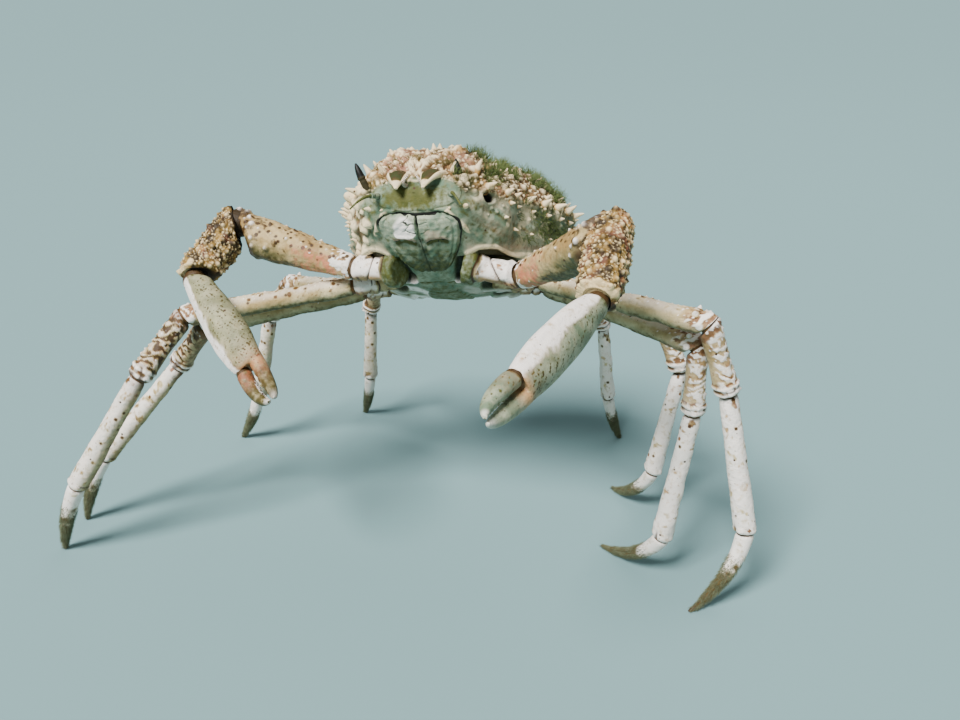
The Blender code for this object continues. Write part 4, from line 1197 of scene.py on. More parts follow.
def knuckle(tube):
    """The dark, wrinkled ball of membrane inside the joint at a segment's start."""
    way, back, side = (v[0] for v in tube.axes(np.array([0.0])))
    radius = tube.section(np.array([0.0]))[0] * 0.9
    lift = np.linspace(0.1 - math.pi / 2, math.pi / 2 - 0.1, KNUCKLE_GRID[0])[:, None, None]
    angle = circle(KNUCKLE_GRID[1])[None, :, None]
    girth = np.cos(lift)
    ring = back * radius[0] * np.cos(angle) + side * radius[1] * np.sin(angle)
    points = way * np.sin(lift) * radius.mean() + girth * ring
    skin = Skin(tube.start + points).face_away_from(tube.start)
    skin.height += 0.25 * np.cos(lift[..., 0] * 26) * girth[..., 0]
    skin.paint(stain=0.9, dark=0.2 + 0.25 * np.cos(lift[..., 0] * 26) + 0 * angle[..., 0])
    return skin


def rings(skin, far, places, tall, width):
    """Raised pale bands at distances from an end, with brown beside them."""
    for middle in places:
        off = far - middle + 0.5 * skin.wave(9, 31)
        skin.line(off, tall, width, knob=(1.0, width * 0.9))
        for beside in (off - 1.9 * width, off + 1.9 * width):
            skin.paint(stain=0.9 * bell(beside, width * 0.8))


def finish_segment(skin, limb, part, material, slot, tube=None, extra=()):
    """Joins a segment's skin, its spines and the membrane at its start into one piece."""
    piece = Piece()
    piece.put_skin(skin, SKIN_BOX)
    boxes = cells(len(extra) + 1)
    if tube:
        piece.put_skin(knuckle(tube), next(boxes))
    for base, axis, length, radius in extra:
        piece.put_spine(base, axis, length, radius, next(boxes))
    name = f"{limb}_{part}"
    return piece.build(name + "_shell", material, [name], slot)


def spots_at(skin, places, length, radius):
    """Blunt spines at (t, angle) places of a grid."""
    found = []
    for t, a in places:
        i = int(round(t * (skin.shape[0] - 1)))
        j = int(round(a / (2 * math.pi) * skin.shape[1])) % skin.shape[1]
        found.append((skin.points[i, j], skin.normals[i, j], length, radius))
    return found


def build_ischium(limb, joints, radius, slot, step, seed):
    """A limb's first segment: a raised, paler neck, a slanting seam and a ring at its end."""
    claw = slot == "claw"
    outline, depth = LIMB_BASES[slot]
    way = unit(joints[1] - joints[0])
    foot = joints[0] - way * depth
    halving = mitre(joints[1] - joints[0], joints[2] - joints[1])
    tube = Tube(straight(foot, joints[1]), scaled(outline, radius), (0, 0, 1), way, halving, 0)
    skin = tube.skin(step)
    round_ends(skin, 0, LIP * 1.3)
    skin.rough(seed, (7, 0.3))
    rings(skin, skin.from_end, (3.8,), 0.6, 0.9)
    share = (0.255 if claw else 0.41) + 0.03 * np.cos(3 * skin.angle + seed)
    neck = skin.from_start - share * tube.length
    skin.height += 0.8 * ramp(-0.2, 0.6, neck) * ramp(5, 1, neck) - 0.8 * bell(neck + 0.8, 0.8)
    slant = skin.from_end - 0.34 * tube.length - 3.4 * np.cos(skin.angle + 1)
    skin.line(slant, -1.0, 0.6)
    skin.paint(knob=ramp(0, 1.0, neck), blush=0.25 * ramp(0, 3, neck))
    stain_and_shade_below(skin, seed + 2, 0.55 if claw else 0.75)
    skin.paint(dark=bell(slant, 0.5) * ramp(-1.0, -0.2, skin.wave(8, seed + 1)))
    if claw:
        dress_coxa(skin, ramp(0.5, -0.5, neck), skin.from_start - 0.13 * tube.length)
    skin.paint(dark=bell(neck + 0.7, 0.7))
    finish_segment(skin, limb, "ischium", "claw" if claw else "leg", slot)


def dress_coxa(skin, base, middle):
    """The smooth ball at the root of a claw, olive-brown partly as its own colour and partly as painted shade
    of its socket, creased round its middle.
    """
    skin.paint(face=base)
    skin.clear(base, "blush", "knob")
    skin.clear(0.8 * base, "stain")
    skin.paint(moss=base * 0.65, stain=base * 0.6)
    skin.line(middle - 0.6 * np.cos(2 * skin.angle), -0.5, 0.7, base, dark=(0.3, 0.6))


def dress_leg_merus(skin, seed, left):
    """Pale above with spots, olive-brown below, partly stain and partly painted shade, and banded and knobbed
    towards the knee.
    """
    up = np.cos(skin.angle)
    round_ends(skin)
    skin.rough(seed, (14, 0.35), (4, 0.15))
    # Painted shade: the green-grey face colour on the underside.
    skin.paint(face=0.4 * ramp(0.4, -0.6, up))
    knee = ramp(20, 5, skin.from_end + 3 * skin.wave(10, seed + 5))
    skin.paint(knob=0.5 * ramp(-0.3, 0.9, up) * (1 - knee))
    stain_and_shade_below(skin, seed + 8)
    skin.paint(stain=0.62 * knee * ramp(-0.9, 0.2, up), blush=0.2 * knee)
    wave = np.cos((skin.from_end + 1.5 * skin.wave(11, seed + 2)) * 1.15)
    band = knee * ramp(-0.5, 0.4, up)
    skin.height += 0.5 * wave * band
    skin.paint(knob=1.1 * band * ramp(0.0, 0.8, wave))
    skin.clear(0.8 * band * ramp(0.2, 0.9, wave), "stain")
    skin.specks(seed + 6, 14, 0.7, 1.7, ramp(0.1, 0.7, up) * (skin.from_end > 8))
    skin.specks(seed + 7, 9, 0.6, 1.1, ramp(0.0, 0.7, up) * (skin.from_end > 8), "dark")
    skin.knobs(seed + 3, 70, 0.5, 1.2, ramp(0.1, 0.9, up) * (skin.from_end > 3) * (0.15 + knee), tall=0.6)
    condyles(skin, 2.6)
    return spots_at(skin, ((0.9, 0.55), (0.9, 2 * math.pi - 0.55)), 2.6, 1.9)


def dress_leg_carpus(skin, seed, left):
    """Pale ribs across, with brown between them, deeper on the right legs."""
    up = np.cos(skin.angle)
    round_ends(skin)
    depth = 0.6 if left else 1.0
    wave = skin.from_end / 6.5 + 0.55 * skin.wave(14, seed) + 0.22 * skin.wave(4, seed + 1)
    ridge = 0.5 + 0.5 * np.cos(2 * math.pi * wave)
    patchy = ramp(-0.4, 0.5, skin.wave(12, seed + 2)) if left else 1.0
    band = ramp(-1.0, -0.2, up)
    skin.height += 0.8 * (ridge - 0.5) * band * depth
    skin.paint(knob=0.9 * band * ramp(0.4, 0.8, ridge) + 0.35 * left)
    stain_and_shade_below(skin, seed + 8, 1.0)
    gap = band * ramp(0.55, 0.15, ridge) * patchy * (0.6 if left else 1.0)
    skin.paint(blush=0.15)
    if not left:
        skin.clear(0.4, "knob")
        skin.paint(moss=0.3 + 0.5 * gap)
    skin.clear(gap, "knob")
    skin.paint(stain=gap, dark=(0.4 if left else 0.7) * gap * ramp(0.5, 0.1, ridge))
    rings(skin, skin.from_end, (3.0, 7.2), 1.0, 1.2)
    skin.paint(stain=0.8 * ramp(9, 3, skin.from_start))
    skin.paint(dark=0.8 * bell(skin.from_end - 5.1, 0.6) * ramp(-0.4, 0.4, skin.wave(9, seed + 4)))
    skin.knobs(seed + 3, 40, 0.6, 1.3, band * (skin.from_end > 3), tall=0.6)
    condyles(skin, 2.4)
    return ()


def dress_leg_propodus(skin, seed, left):
    """Smooth and pale, with a cleft at its far end."""
    round_ends(skin)
    skin.rough(seed, (16, 0.3), (4, 0.12))
    rings(skin, skin.from_end, (2.8,), 0.4, 1.0)
    cleft = bell(turn_from(skin.angle, 2.2), 0.12) * ramp(9, 2, skin.from_end)
    skin.height -= 1.0 * cleft
    skin.paint(dark=cleft, knob=0.95 if left else 0.7, blush=0.3 * ramp(-0.2, 0.8, skin.wave(20, seed + 2)))
    stain_and_shade_below(skin, seed + 8, 0.5 if left else 0.8)
    skin.paint(stain=0.7 * ramp(12, 3, skin.from_start + 3 * skin.wave(6, seed + 5)))
    skin.specks(seed + 6, 9, 0.6, 1.4, 0.1 + ramp(0.5, 0.0, skin.t))
    skin.specks(seed + 7, 5, 0.6, 1.2, 0.2 + ramp(0.5, 0.0, skin.t), "dark")
    condyles(skin, 2.2, 0.6)
    return ()


def turn_from(angle, middle):
    """Angle from the middle one, between -pi and pi."""
    return np.angle(np.exp(1j * (angle - middle)))


def dress_dactylus(skin, seed, left):
    """Bare and pale at its root, felted further on and dark at the tip."""
    round_ends(skin, LIP, 0)
    calm = ramp(1.0, 0.86, skin.t)
    skin.height += 0.3 * skin.wave(5, seed) * skin.t * calm
    turn = np.minimum(*(np.abs(turn_from(skin.angle, side)) for side in (1.2, -1.2)))
    skin.line(turn, -0.5, 0.25, ramp(0.15, 0.35, skin.t) * calm)
    under = ramp(0.3, -0.8, skin.normals[..., 2])
    felted = ramp(0.2, 0.75, skin.t + 0.1 * skin.wave(8, seed + 1) + 0.12 * under)
    skin.paint(knob=0.9 * (1 - felted), moss=0.5 * felted, stain=felted)
    skin.paint(dark=np.maximum(0.2 * felted, ramp(0.9, 0.98, skin.t)))
    return ()


DRESS_LEG = {
    "merus": dress_leg_merus,
    "carpus": dress_leg_carpus,
    "propodus": dress_leg_propodus,
    "dactylus": dress_dactylus,
}


def leg_tubes(limb, joints):
    """The four tubes of a leg beyond its ischium."""
    radius = LEG_RADIUS[kind_of(limb)]
    steps = joints[1:] - joints[:-1]
    toe_turn = (unit(steps[3]) * 0.55 + unit(steps[4]) * 0.45) * np.linalg.norm(steps[4]) * 0.5
    ways = [*steps[:4], toe_turn]
    halves = [mitre(a, b) for a, b in zip(ways[:-1], ways[1:])]
    rows = (("merus", MERUS, 1.0), ("carpus", CARPUS, 1.02), ("propodus", PROPODUS, 0.96))
    tubes = {}
    for k, (part, outline, share) in enumerate(rows, start=1):
        path = straight(joints[k], joints[k + 1])
        tubes[part] = Tube(path, scaled(outline, radius * share), side_up(steps[k]), *halves[k - 1 : k + 1])
    toe = bent(joints[4], joints[4] + toe_turn, joints[5])
    floor = np.array([0, 0, -1.0])
    section = scaled(DACTYLUS, radius * 0.88)
    tubes["dactylus"] = Tube(toe, section, side_up(steps[4]), halves[3], floor, end_gap=0)
    return tubes


def build_leg(limb, number):
    """The five pieces of a leg. Its toe's grid is given back for the felt."""
    joints = joints_of(limb)
    seed = LEG_SEED + 10 * number
    build_ischium(limb, joints, LEG_RADIUS[kind_of(limb)], "shell", LEG_STEP, seed)
    for part, tube in leg_tubes(limb, joints).items():
        toe = part == "dactylus"
        skin = tube.skin(TOE_STEP if toe else LEG_STEP)
        extra = DRESS_LEG[part](skin, seed, "_left" in limb)
        finish_segment(skin, limb, part, "leg", "dactyl" if toe else "shell", tube, extra)
    return skin


def dress_claw_merus(skin, seed):
    """White at its root, then blushed, with painted light on top and painted shade, olive and dark, below, and
    a knobbed brown end.
    """
    up = np.cos(skin.angle)
    round_ends(skin, CLAW_LIP, CLAW_LIP)
    skin.rough(seed, (18, 0.5), (4.5, 0.18))
    skin.line(skin.from_end - 5.0, 1.2, 2.0)
    jagged = skin.t + 0.1 * skin.wave(12, seed + 2) + 0.06 * skin.wave(3, seed + 6)
    white = ramp(0.13, 0.05, jagged)
    patch = ramp(0.5, 0.24, jagged) * ramp(0.85, 0.4, up) * (1 - white)
    # Painted light: paler on top.
    skin.paint(knob=0.3 * ramp(0.0, 0.8, up) * (1 - patch))
    stain_and_shade_below(skin, seed + 10)
    skin.clear(0.8 * white, "stain")
    skin.clear(white, "moss")
    skin.paint(knob=white, blush=0.7 * patch * ramp(-1.0, 0.1, skin.wave(5, seed + 12)))
    skin.clear(patch, "moss")
    skin.clear(0.7 * patch, "stain")
    # Painted shade: green-grey, moss and dark on the underside, growing towards the far end.
    skin.paint(
        face=0.4 * ramp(0.3, 0.7, skin.t) * ramp(0.5, -0.5, up),
        stain=0.9 * ramp(0.62, 0.94, skin.t) * ramp(-0.9, 0.1, skin.wave(7, seed + 3)),
        moss=0.9 * ramp(0.3, 0.8, skin.t) * ramp(0.5, -0.4, up),
        dark=0.3 * ramp(0.3, 0.7, skin.t) * ramp(0.3, -0.5, up),
    )
    edge = ramp(0.35, 0.8, up)
    skin.knobs(seed + 4, 9, 1.4, 2.2, edge * (skin.from_end > 6) * (skin.t > 0.22))
    low = (0.1 + edge) * (skin.from_end > 3) * (skin.bumps < 0.2)
    skin.knobs(seed + 5, 36, 0.5, 1.0, low, tall=0.5, profile=bead, share=0.7)
    collar = bell(skin.from_end - 6.0, 3.0) * ramp(-0.3, 0.4, up)
    skin.knobs(seed + 9, 12, 1.6, 2.6, collar, tall=0.9, profile=lump)
    skin.specks(seed + 7, 46, 0.6, 1.6, edge * (skin.from_end > 4))
    skin.specks(seed + 8, 22, 0.6, 1.3, edge * (skin.from_end > 4), "dark")
    # Dark of the joint, with painted shade under the far end.
    skin.paint(dark=0.75 * ramp(9, 2, skin.from_end) * ramp(0.6, -0.2, up))


def dress_claw_carpus(skin, seed):
    """Crowded lumps on brown, with a pale collar round the far end."""
    round_ends(skin, CLAW_LIP, CLAW_LIP)
    inner = np.minimum(skin.from_end, skin.from_start) > 2.5
    skin.rough(seed, (14, 0.7))
    skin.paint(stain=0.6 + 0.3 * skin.wave(7, seed + 8))
    skin.paint(dark=0.4 * ramp(-0.4, 0.9, skin.wave(10, seed + 5)))
    skin.knobs(seed + 1, 230, 1.3, 2.4, inner * 1.0, tall=0.95, profile=lump, share=1.1, spread=0.8)
    bare = inner * (skin.bumps < 0.3)
    skin.knobs(seed + 2, 420, 0.7, 1.3, bare, tall=0.95, profile=lump, share=1.1, spread=0.8)
    bare = inner * (skin.bumps < 0.2)
    skin.knobs(seed + 3, 420, 0.45, 0.7, bare, tall=0.9, profile=bead, share=0.8)
    skin.clear(skin.marks["knob"] * 1.6, "dark")
    skin.paint(blush=0.2 * ramp(0.0, 0.8, skin.wave(12, seed + 4)))
    collar = ramp(6, 3, skin.from_end + 1.5 * skin.wave(8, seed + 6)) * ramp(-0.4, 0.4, np.cos(skin.angle))
    skin.clear(0.8 * collar, "stain", "dark")
    skin.paint(knob=1.1 * collar)
    skin.line(skin.from_end - 3.2, 0.8, 1.2)
    condyles(skin, 3.0, 1.4)


def palm_marks(obj, hand, seed, brown):
    """Marks of a fused palm from its points' places along and round it."""
    points = np.empty(len(obj.data.vertices) * 3, np.float32)
    obj.data.vertices.foreach_get("co", points)
    points = points.reshape(-1, 3) / MM
    way, back, side = (v[0] for v in hand.axes(np.array([0.5])))
    rel = points - hand.path(np.array([0.0]))[0]
    t = rel @ way / hand.length
    high = along(PALM, np.clip(t, 0, 1))[:, 0]
    up, across = rel @ back / high, rel @ side / high
    tooth = ramp(1.0, 1.1, t)
    body = ramp(1.0, 0.94, t)
    shore = up + 0.16 * ripple(points, 14, seed + 2) + 0.05 * ripple(points, 4, seed + 3)
    # The green-grey mottle on the side away from the crest is partly its own colour and partly painted shade.
    mottle = ramp(0.8, 0.3, shore) * body
    patches = ramp(-0.6, 0.7, ripple(points, 8, seed)) * mottle
    flecks = ramp(0.6, 0.9, ripple(points, 1.9, seed + 1)) * ramp(0.7, 0.1, shore) * body
    root = bell(t - 1.0, 0.13) * ramp(-1.2, 0.4, across + 0.4)
    marks = {
        "knob": 0.15 + 0.9 * ramp(0.3, 0.8, shore) + 0.5 * tooth * ramp(1.2, 1.45, t),
        "stain": 0.3 * patches + 0.5 * ramp(0.08, 0.0, t) + flecks + (0.2 + 0.4 * brown) * tooth,
        "blush": (0.25 + 0.2 * brown) * root + 0.06 * (1 - mottle) * (1 - tooth),
        "dark": ramp(0.03, -0.01, t) + 0.5 * flecks,
        "face": np.maximum((0.85 - 0.25 * brown) * mottle, (0.9 - 0.5 * brown) * tooth),
        "moss": 0.2 * patches,
    }
    mark_points(obj.data, {name: np.clip(values, 0, 1) for name, values in marks.items()})


def fuse(obj, voxel, rounds):
    """One smooth closed surface out of several that cross."""
    remesh = obj.modifiers.new("remesh", "REMESH")
    remesh.mode, remesh.voxel_size = "VOXEL", voxel * MM
    remesh.use_smooth_shade = True
    smooth = obj.modifiers.new("smooth", "SMOOTH")
    smooth.factor, smooth.iterations = 0.5, rounds
    graph = bpy.context.evaluated_depsgraph_get()
    mesh = bpy.data.meshes.new_from_object(obj.evaluated_get(graph))
    obj.modifiers.clear()
    obj.data = mesh


def add_teeth(skin, side):
    """Blunt teeth on the biting edge of a finger."""
    facing = np.cos(skin.angle) * side
    row = 0.5 + 0.5 * np.cos(2 * math.pi * skin.t * TEETH)
    bite = ramp(0.75, 1.0, facing) * ramp(0.12, 0.3, skin.t) * ramp(1.0, 0.85, skin.t)
    skin.height += 0.9 * bite * row
    skin.paint(knob=bite)


def build_cheliped(limb, number):
    """The six pieces of a claw limb."""
    joints = joints_of(limb)
    seed = CLAW_SEED + 20 * number
    steps = joints[1:] - joints[:-1]
    halves = [mitre(a, b) for a, b in zip(steps[:3], steps[1:4])]
    back = np.array(PALM_BACK[limb])
    build_ischium(limb, joints, CLAW_ISCHIUM_RADIUS, "claw", CLAW_STEP, seed)

    path = straight(joints[1], joints[2] - (0, 0, MERUS_SAG))
    arm = Tube(path, scaled(CLAW_MERUS, CLAW_MERUS_RADIUS), (0, 0, 1), *halves[:2], ends=joints[1:3])
    skin = arm.skin(CLAW_STEP)
    dress_claw_merus(skin, seed + 1)
    finish_segment(skin, limb, "merus", "claw", "claw", arm)

    path = straight(joints[2], joints[3])
    wrist = Tube(path, scaled(CLAW_CARPUS, CLAW_CARPUS_RADIUS), back, *halves[1:])
    skin = wrist.skin(WRIST_STEP)
    dress_claw_carpus(skin, seed + 7)
    finish_segment(skin, limb, "carpus", "wrist", "claw", wrist)

    way = unit(steps[3])
    back = unit(back - way * dot(back, way))
    hand = Tube(straight(joints[3], joints[4]), lambda t: along(PALM, t), back, halves[2], way)
    fixed, finger = finger_tubes(joints, way, back)
    brown = CLAW_BROWN[limb]
    build_palm(limb, hand, fixed, seed, brown)
    build_finger(limb, finger, seed + 12, brown)


def finger_tubes(joints, way, back):
    """A claw's fixed and moving fingers, curved towards each other."""
    root, tip = joints[4:]
    offset = back * FINGER_RADIUS * 1.08
    outline = scaled(FINGER, FINGER_RADIUS, 1.15)
    reach, apart = way * FINGER_BOW, back * FINGER_TIPS
    fixed = bent(root - offset - way * FINGER_ROOT, root - offset + reach, tip - apart)
    moving = bent(root + offset, root + offset * 1.5 + reach, tip + apart)
    rows = ((fixed, 0), (moving, GAP / 2))
    return [Tube(path, outline, back, way, unit(tip - root), gap, 0) for path, gap in rows]


def build_palm(limb, hand, fixed, seed, brown):
    """A claw's palm and fixed finger as one surface, and the membrane at its start."""
    tooth = fixed.skin(FINGER_STEP)
    add_teeth(tooth, 1)
    palm = hand.skin(PALM_STEP)
    round_ends(palm, CLAW_LIP, 3.0)
    ridge = ramp(0.86, 1.0, np.cos(palm.angle)) * ramp(0.03, 0.2, palm.t) * ramp(1.0, 0.85, palm.t)
    palm.height += 0.9 * ridge + 0.3 * palm.wave(20, seed + 9)
    piece = Piece()
    piece.put_skin(palm)
    piece.put_skin(tooth)
    obj = piece.build(f"{limb}_palm_shell", "claw", [f"{limb}_palm"], "claw")
    fuse(obj, PALM_VOXEL, PALM_SMOOTHING)
    palm_marks(obj, hand, seed + 10, brown)
    build_skin(f"{limb}_palm_membrane", knuckle(hand), "claw", [f"{limb}_palm"], "claw")


def build_finger(limb, finger, seed, brown):
    """A claw's moving finger."""
    skin = finger.skin(FINGER_STEP)
    round_ends(skin, 1.0, 0)
    add_teeth(skin, -1)
    skin.paint(face=0.9 - 0.5 * brown, knob=0.1 + 0.5 * ramp(0.7, 0.95, skin.t), stain=0.2 + 0.45 * brown)
    skin.paint(blush=(0.15 + 0.2 * brown) * ramp(0.5, 0.1, skin.t))
    skin.specks(seed, 30, 0.3, 0.7, np.ones(skin.shape))
    finish_segment(skin, limb, "finger", "claw", "claw", finger)


# -------- plates of the underside
def plate_matrix(front, hind):
    """Frame with x across the body, y from front to hind and z out of the underside."""
    y = unit(np.subtract(hind, front).astype(float))
    x = np.array([1.0, 0, 0])
    z = np.cross(x, y)
    z = -z if z[2] > 0 else z
    matrix = np.eye(4)
    matrix[:3, 0], matrix[:3, 1], matrix[:3, 2], matrix[:3, 3] = x, y, z, front
    return BODY @ matrix


def trunk_tree(skin):
    """The trunk's smooth form, for finding the surface under a plate."""
    points = skin.points[::4, ::4]
    r, c = points.shape[:2]
    i, j = lattice(np.arange(r - 1), np.arange(c))
    k = (j + 1) % c
    faces = np.stack([i * c + j, i * c + k, (i + 1) * c + k, (i + 1) * c + j], -1).reshape(-1, 4)
    return BVHTree.FromPolygons([Vector(p) for p in points.reshape(-1, 3)], faces.tolist())


def drop_on(tree, matrix, x, y, proud):
    """The grid of a plate over (x, y) of its frame, standing proud of the surface there."""
    inverse = np.linalg.inv(matrix)
    way = Vector(-matrix[:3, 2])
    points = np.empty((*x.shape, 3))
    for index in np.ndindex(x.shape):
        start = to_world((x[index], y[index], PROBE_HEIGHT), matrix)
        hit = tree.ray_cast(Vector(start), way)[0]
        if hit is None:
            hit = tree.find_nearest(Vector(to_world((x[index], y[index], 0), matrix)))[0]
        points[index] = (x[index], y[index], to_world(hit, inverse)[2] + proud[index])
    return Skin(to_world(points, matrix), closed=False).face_away_from(to_world((0, 0, 0)))


# Middles of the palp's small joints, and the plate's half width at lengths along it.
PALP_JOINTS = ((3.0, 2.5), (8.5, 1.5), (14.0, 4.0), (4.0, 7.0), (9.0, 6.0), (13.0, 9.0), (6.5, 11.5))
MAXILLIPED_HALF = (
    (0.4, 15.0), (1.2, 18.5), (4.5, 23.0), (11, 23.5), (20, 21.5), (29, 18.0), (37, 14.0), (43, 8.5),
    (45, 3.0),
)


def palp_cracks(x, y):
    """Thin lines between the small joints of the folded palp, as 0 to 1."""
    far = np.stack([np.hypot(x - cx, (y - cy) * 1.1) for cx, cy in PALP_JOINTS], -1)
    near = np.sort(far, -1)
    return ramp(0.75, 0.2, near[..., 1] - near[..., 0])


def maxilliped_skin(side, tree):
    """The grid of a cover of the mouth, with its places across and along the plate."""
    first, last = MAXILLIPED_HALF[0][0], MAXILLIPED_HALF[-1][0]
    y, u = lattice(np.linspace(first, last, MOUTH_GRID[0]), np.linspace(0, 1, MOUTH_GRID[1]))
    outer = along(MAXILLIPED_HALF, y)[..., 0]
    x = GAP + (outer - GAP) * u
    ends = np.minimum(y - first, last - y)
    edge = np.minimum(np.minimum(1.6 * (x - GAP) + 1.5 * ramp(12, 18, y), outer - x), ends)
    crown = 0.7 * bell(np.hypot((x - 9) / 9, (y - 7) / 7), 1)
    crown = crown - 1.5 + 3.5 * np.sqrt(np.clip(edge / 1.5, 0, 1))
    skin = drop_on(tree, plate_matrix(MOUTH_START, MOUTH_END), x * side, y, crown)
    skin.x, skin.y, skin.outer = x, y, outer
    return skin


def colour_palp(skin, side, wave):
    """The pale folded palp with its dark cracks, fainter on the crab's left."""
    x, y = skin.x, skin.y
    right = side < 0
    pale = 1.0 if right else 0.2
    blot = bell(np.hypot((x - 7.5) / 8.5, (y - 6.5) / 7.5) + 0.12 * wave, 0.85)
    bright = bell(np.hypot((x - 8.0) / (6.4 if right else 5.4), (y - 10.8) / 2.9) ** 2 + 0.1 * wave, 0.95)
    warped = 1.1 * skin.wave(5, 47)
    crack = palp_cracks(x + warped, y - 0.8 * warped)
    crack = crack * ramp(12.5, 10, y) * ramp(0.8, 1.6, x) * ramp(11 if right else 8, 6, x)
    skin.height -= 0.5 * crack
    skin.clear(np.maximum(blot, bright), "stain")
    white = pale * np.maximum(0.75 * ramp(0.2, 0.7, blot), 1.3 * ramp(0.1, 0.6, bright))
    skin.paint(knob=1.2 * white, blush=(1 - pale) * 0.35 * ramp(0.0, 1.0, bright))
    skin.clear(crack, "knob")
    skin.paint(dark=0.95 * crack * pale * ramp(-1.0, 0.2, wave))


def build_maxilliped(word, side, tree):
    """One of the two covers of the mouth: its arched joint, inner groove and folded palp."""
    skin = maxilliped_skin(side, tree)
    x, y = skin.x, skin.y
    wave = skin.wave(8, 45)
    skin.paint(face=1.0, stain=0.45 * ramp(-0.2, 0.8, skin.wave(9, 46)))
    arc = y - 15.4 - ((x - 9.5) / 7.5) ** 2 * 2.2 + 0.5 * wave
    inner = ramp(1.5, 4, x) * ramp(17, 14.5, x)
    skin.height += inner * (1.2 * bell(arc + 2.6, 2.0) - 1.6 * ramp(-0.4, 0.8, arc) * ramp(8, 0.8, arc))
    groove = x - 11.0 + 0.22 * (y - 15) + 0.4 * wave
    skin.line(groove, -0.6, 1.8, ramp(15, 19, y), stain=(0.4, 1.6))
    rim = x - skin.outer * 0.84 + 0.3 * wave
    skin.line(rim, -0.5, 0.7)
    skin.paint(dark=0.2 * bell(rim, 0.6) * ramp(24, 12, y))
    colour_palp(skin, side, wave)
    skin.clear(inner * bell(arc + 0.9, 1.5), "knob")
    skin.paint(blush=inner * 0.8 * bell(arc + 1.2, 1.6), dark=inner * 0.95 * bell(arc - 0.7, 1.1))
    skin.paint(stain=inner * bell(arc - 2.2, 2.2))
    # Painted shade: a dark, greener wedge between the plates, and darker, greener lower parts.
    wedge = ramp(3.4, 0.8, x - 0.08 * (y - 14)) * ramp(12, 17, y)
    skin.height -= 0.6 * wedge
    skin.paint(moss=np.maximum(wedge, 0.9 * ramp(16, 28, y)), stain=0.7 * ramp(20, 40, y))
    skin.paint(dark=np.maximum(0.4 * wedge, 0.3 * ramp(18, 34, y)))
    skin.rough(41, (5, 0.2))
    build_skin(f"maxilliped_{word}_shell", skin, "face", [f"maxilliped_{word}"], "mouth", caps=False)


def build_abdomen(tree):
    """The narrow tail flap with its six joints."""
    rows, columns = ABDOMEN_GRID
    y, u = lattice(np.linspace(0, ABDOMEN_LENGTH, rows), np.linspace(-1, 1, columns))
    half = along(ABDOMEN_HALF, y)[..., 0]
    x = half * u
    edge = np.minimum(half - np.abs(x), np.minimum(y, ABDOMEN_LENGTH - y))
    crown = ABDOMEN_PROUD * (np.sqrt(np.clip(edge / 2.5, 0, 1)) * 1.6 - 1.2)
    skin = drop_on(tree, plate_matrix(ABDOMEN_FRONT, ABDOMEN_HIND), x, y, crown)
    for joint in ABDOMEN_JOINTS:
        skin.line(y - joint + 0.02 * x * x, -0.9, 0.6, dark=(0.7, 0.45), stain=(0.5, 1.6))
    skin.line(x, 0.5, 3.5)
    skin.rough(43, (6, 0.12))
    skin.paint(face=1.0)
    stain_and_shade_below(skin, 44, 0.9)
    build_skin("abdomen_shell", skin, "face", ["abdomen"], "underside", caps=False)


# -------- head
def build_eyes():
    for word, corners in EYES.items():
        base, middle, tip = (np.array(corner, float) for corner in corners)
        path = base, middle, middle + EYE_SHARE * (tip - middle)
        skin = free_tube(path, EYE_OUTLINE, EYE_RADIUS * EYE_SHARE).skin(FEELER_STEP)
        skin.line(skin.t - 0.52, 0.25, 0.05)
        skin.line(skin.t - 0.45, -0.3, 0.04)
        skin.paint(dark=ramp(0.5, 0.62, skin.t))
        build_skin(f"eye_{word}_stalk", skin, "eye", [f"eye_{word}"], "eye")


def whip_skin(path, radius, side, count, tall):
    """A thin beaded feeler, and its beads as 0 to 1."""
    skin = free_tube(path, WHIP, radius, side=side).skin(FEELER_STEP, FEELER_COLUMNS)
    beads = 0.5 + 0.5 * np.cos(2 * math.pi * skin.t * count)
    skin.height += tall * beads
    return skin, beads


def build_antennae():
    for word, side in SIDES.items():
        stalk = free_tube(PEDUNCLE_PATH, PEDUNCLE, PEDUNCLE_RADIUS, side=side).skin(STALK_STEP)
        for joint in (0.3, 0.52, 0.78):
            stalk.line(stalk.t - joint, -0.35, 0.03, dark=(0.8, 0.025))
        stalk.paint(moss=0.35, face=1.0)
        whip, beads = whip_skin(WHIP_PATH, WHIP_RADIUS, side, 16, 0.14)
        whip.paint(stain=1 - 0.5 * beads, moss=0.5, face=1.0)
        piece = Piece()
        piece.put_skin(stalk, (0, 0, 1, 0.6))
        piece.put_skin(whip, (0, 0.62, 1, 1))
        piece.build(f"antenna_{word}_shell", "face", [f"antenna_{word}"], "shell")


def build_antennules():
    """The two small folded feelers under the horns."""
    piece = Piece()
    for side, low in ((1, 0.0), (-1, 0.5)):
        skin, beads = whip_skin(ANTENNULE_PATH, ANTENNULE_RADIUS, side, 12, 0.18)
        skin.paint(knob=0.9 * beads, stain=1 - beads)
        piece.put_skin(skin, (0, low, 1, low + 0.48))
    piece.build("antennules", "leg", [], "shell")


# -------- hair, felt and weed
BLADE_LEVELS = 5
BLADE_FLOOR = 0.2  # no blade goes lower
BLADE_PATCH = 0.003  # size of a blade in the unwrap
FELT_BLADES, FELT = 2600, ((0.9, 2.4), (0.1, 0.18))  # on each toe; length and width of a blade
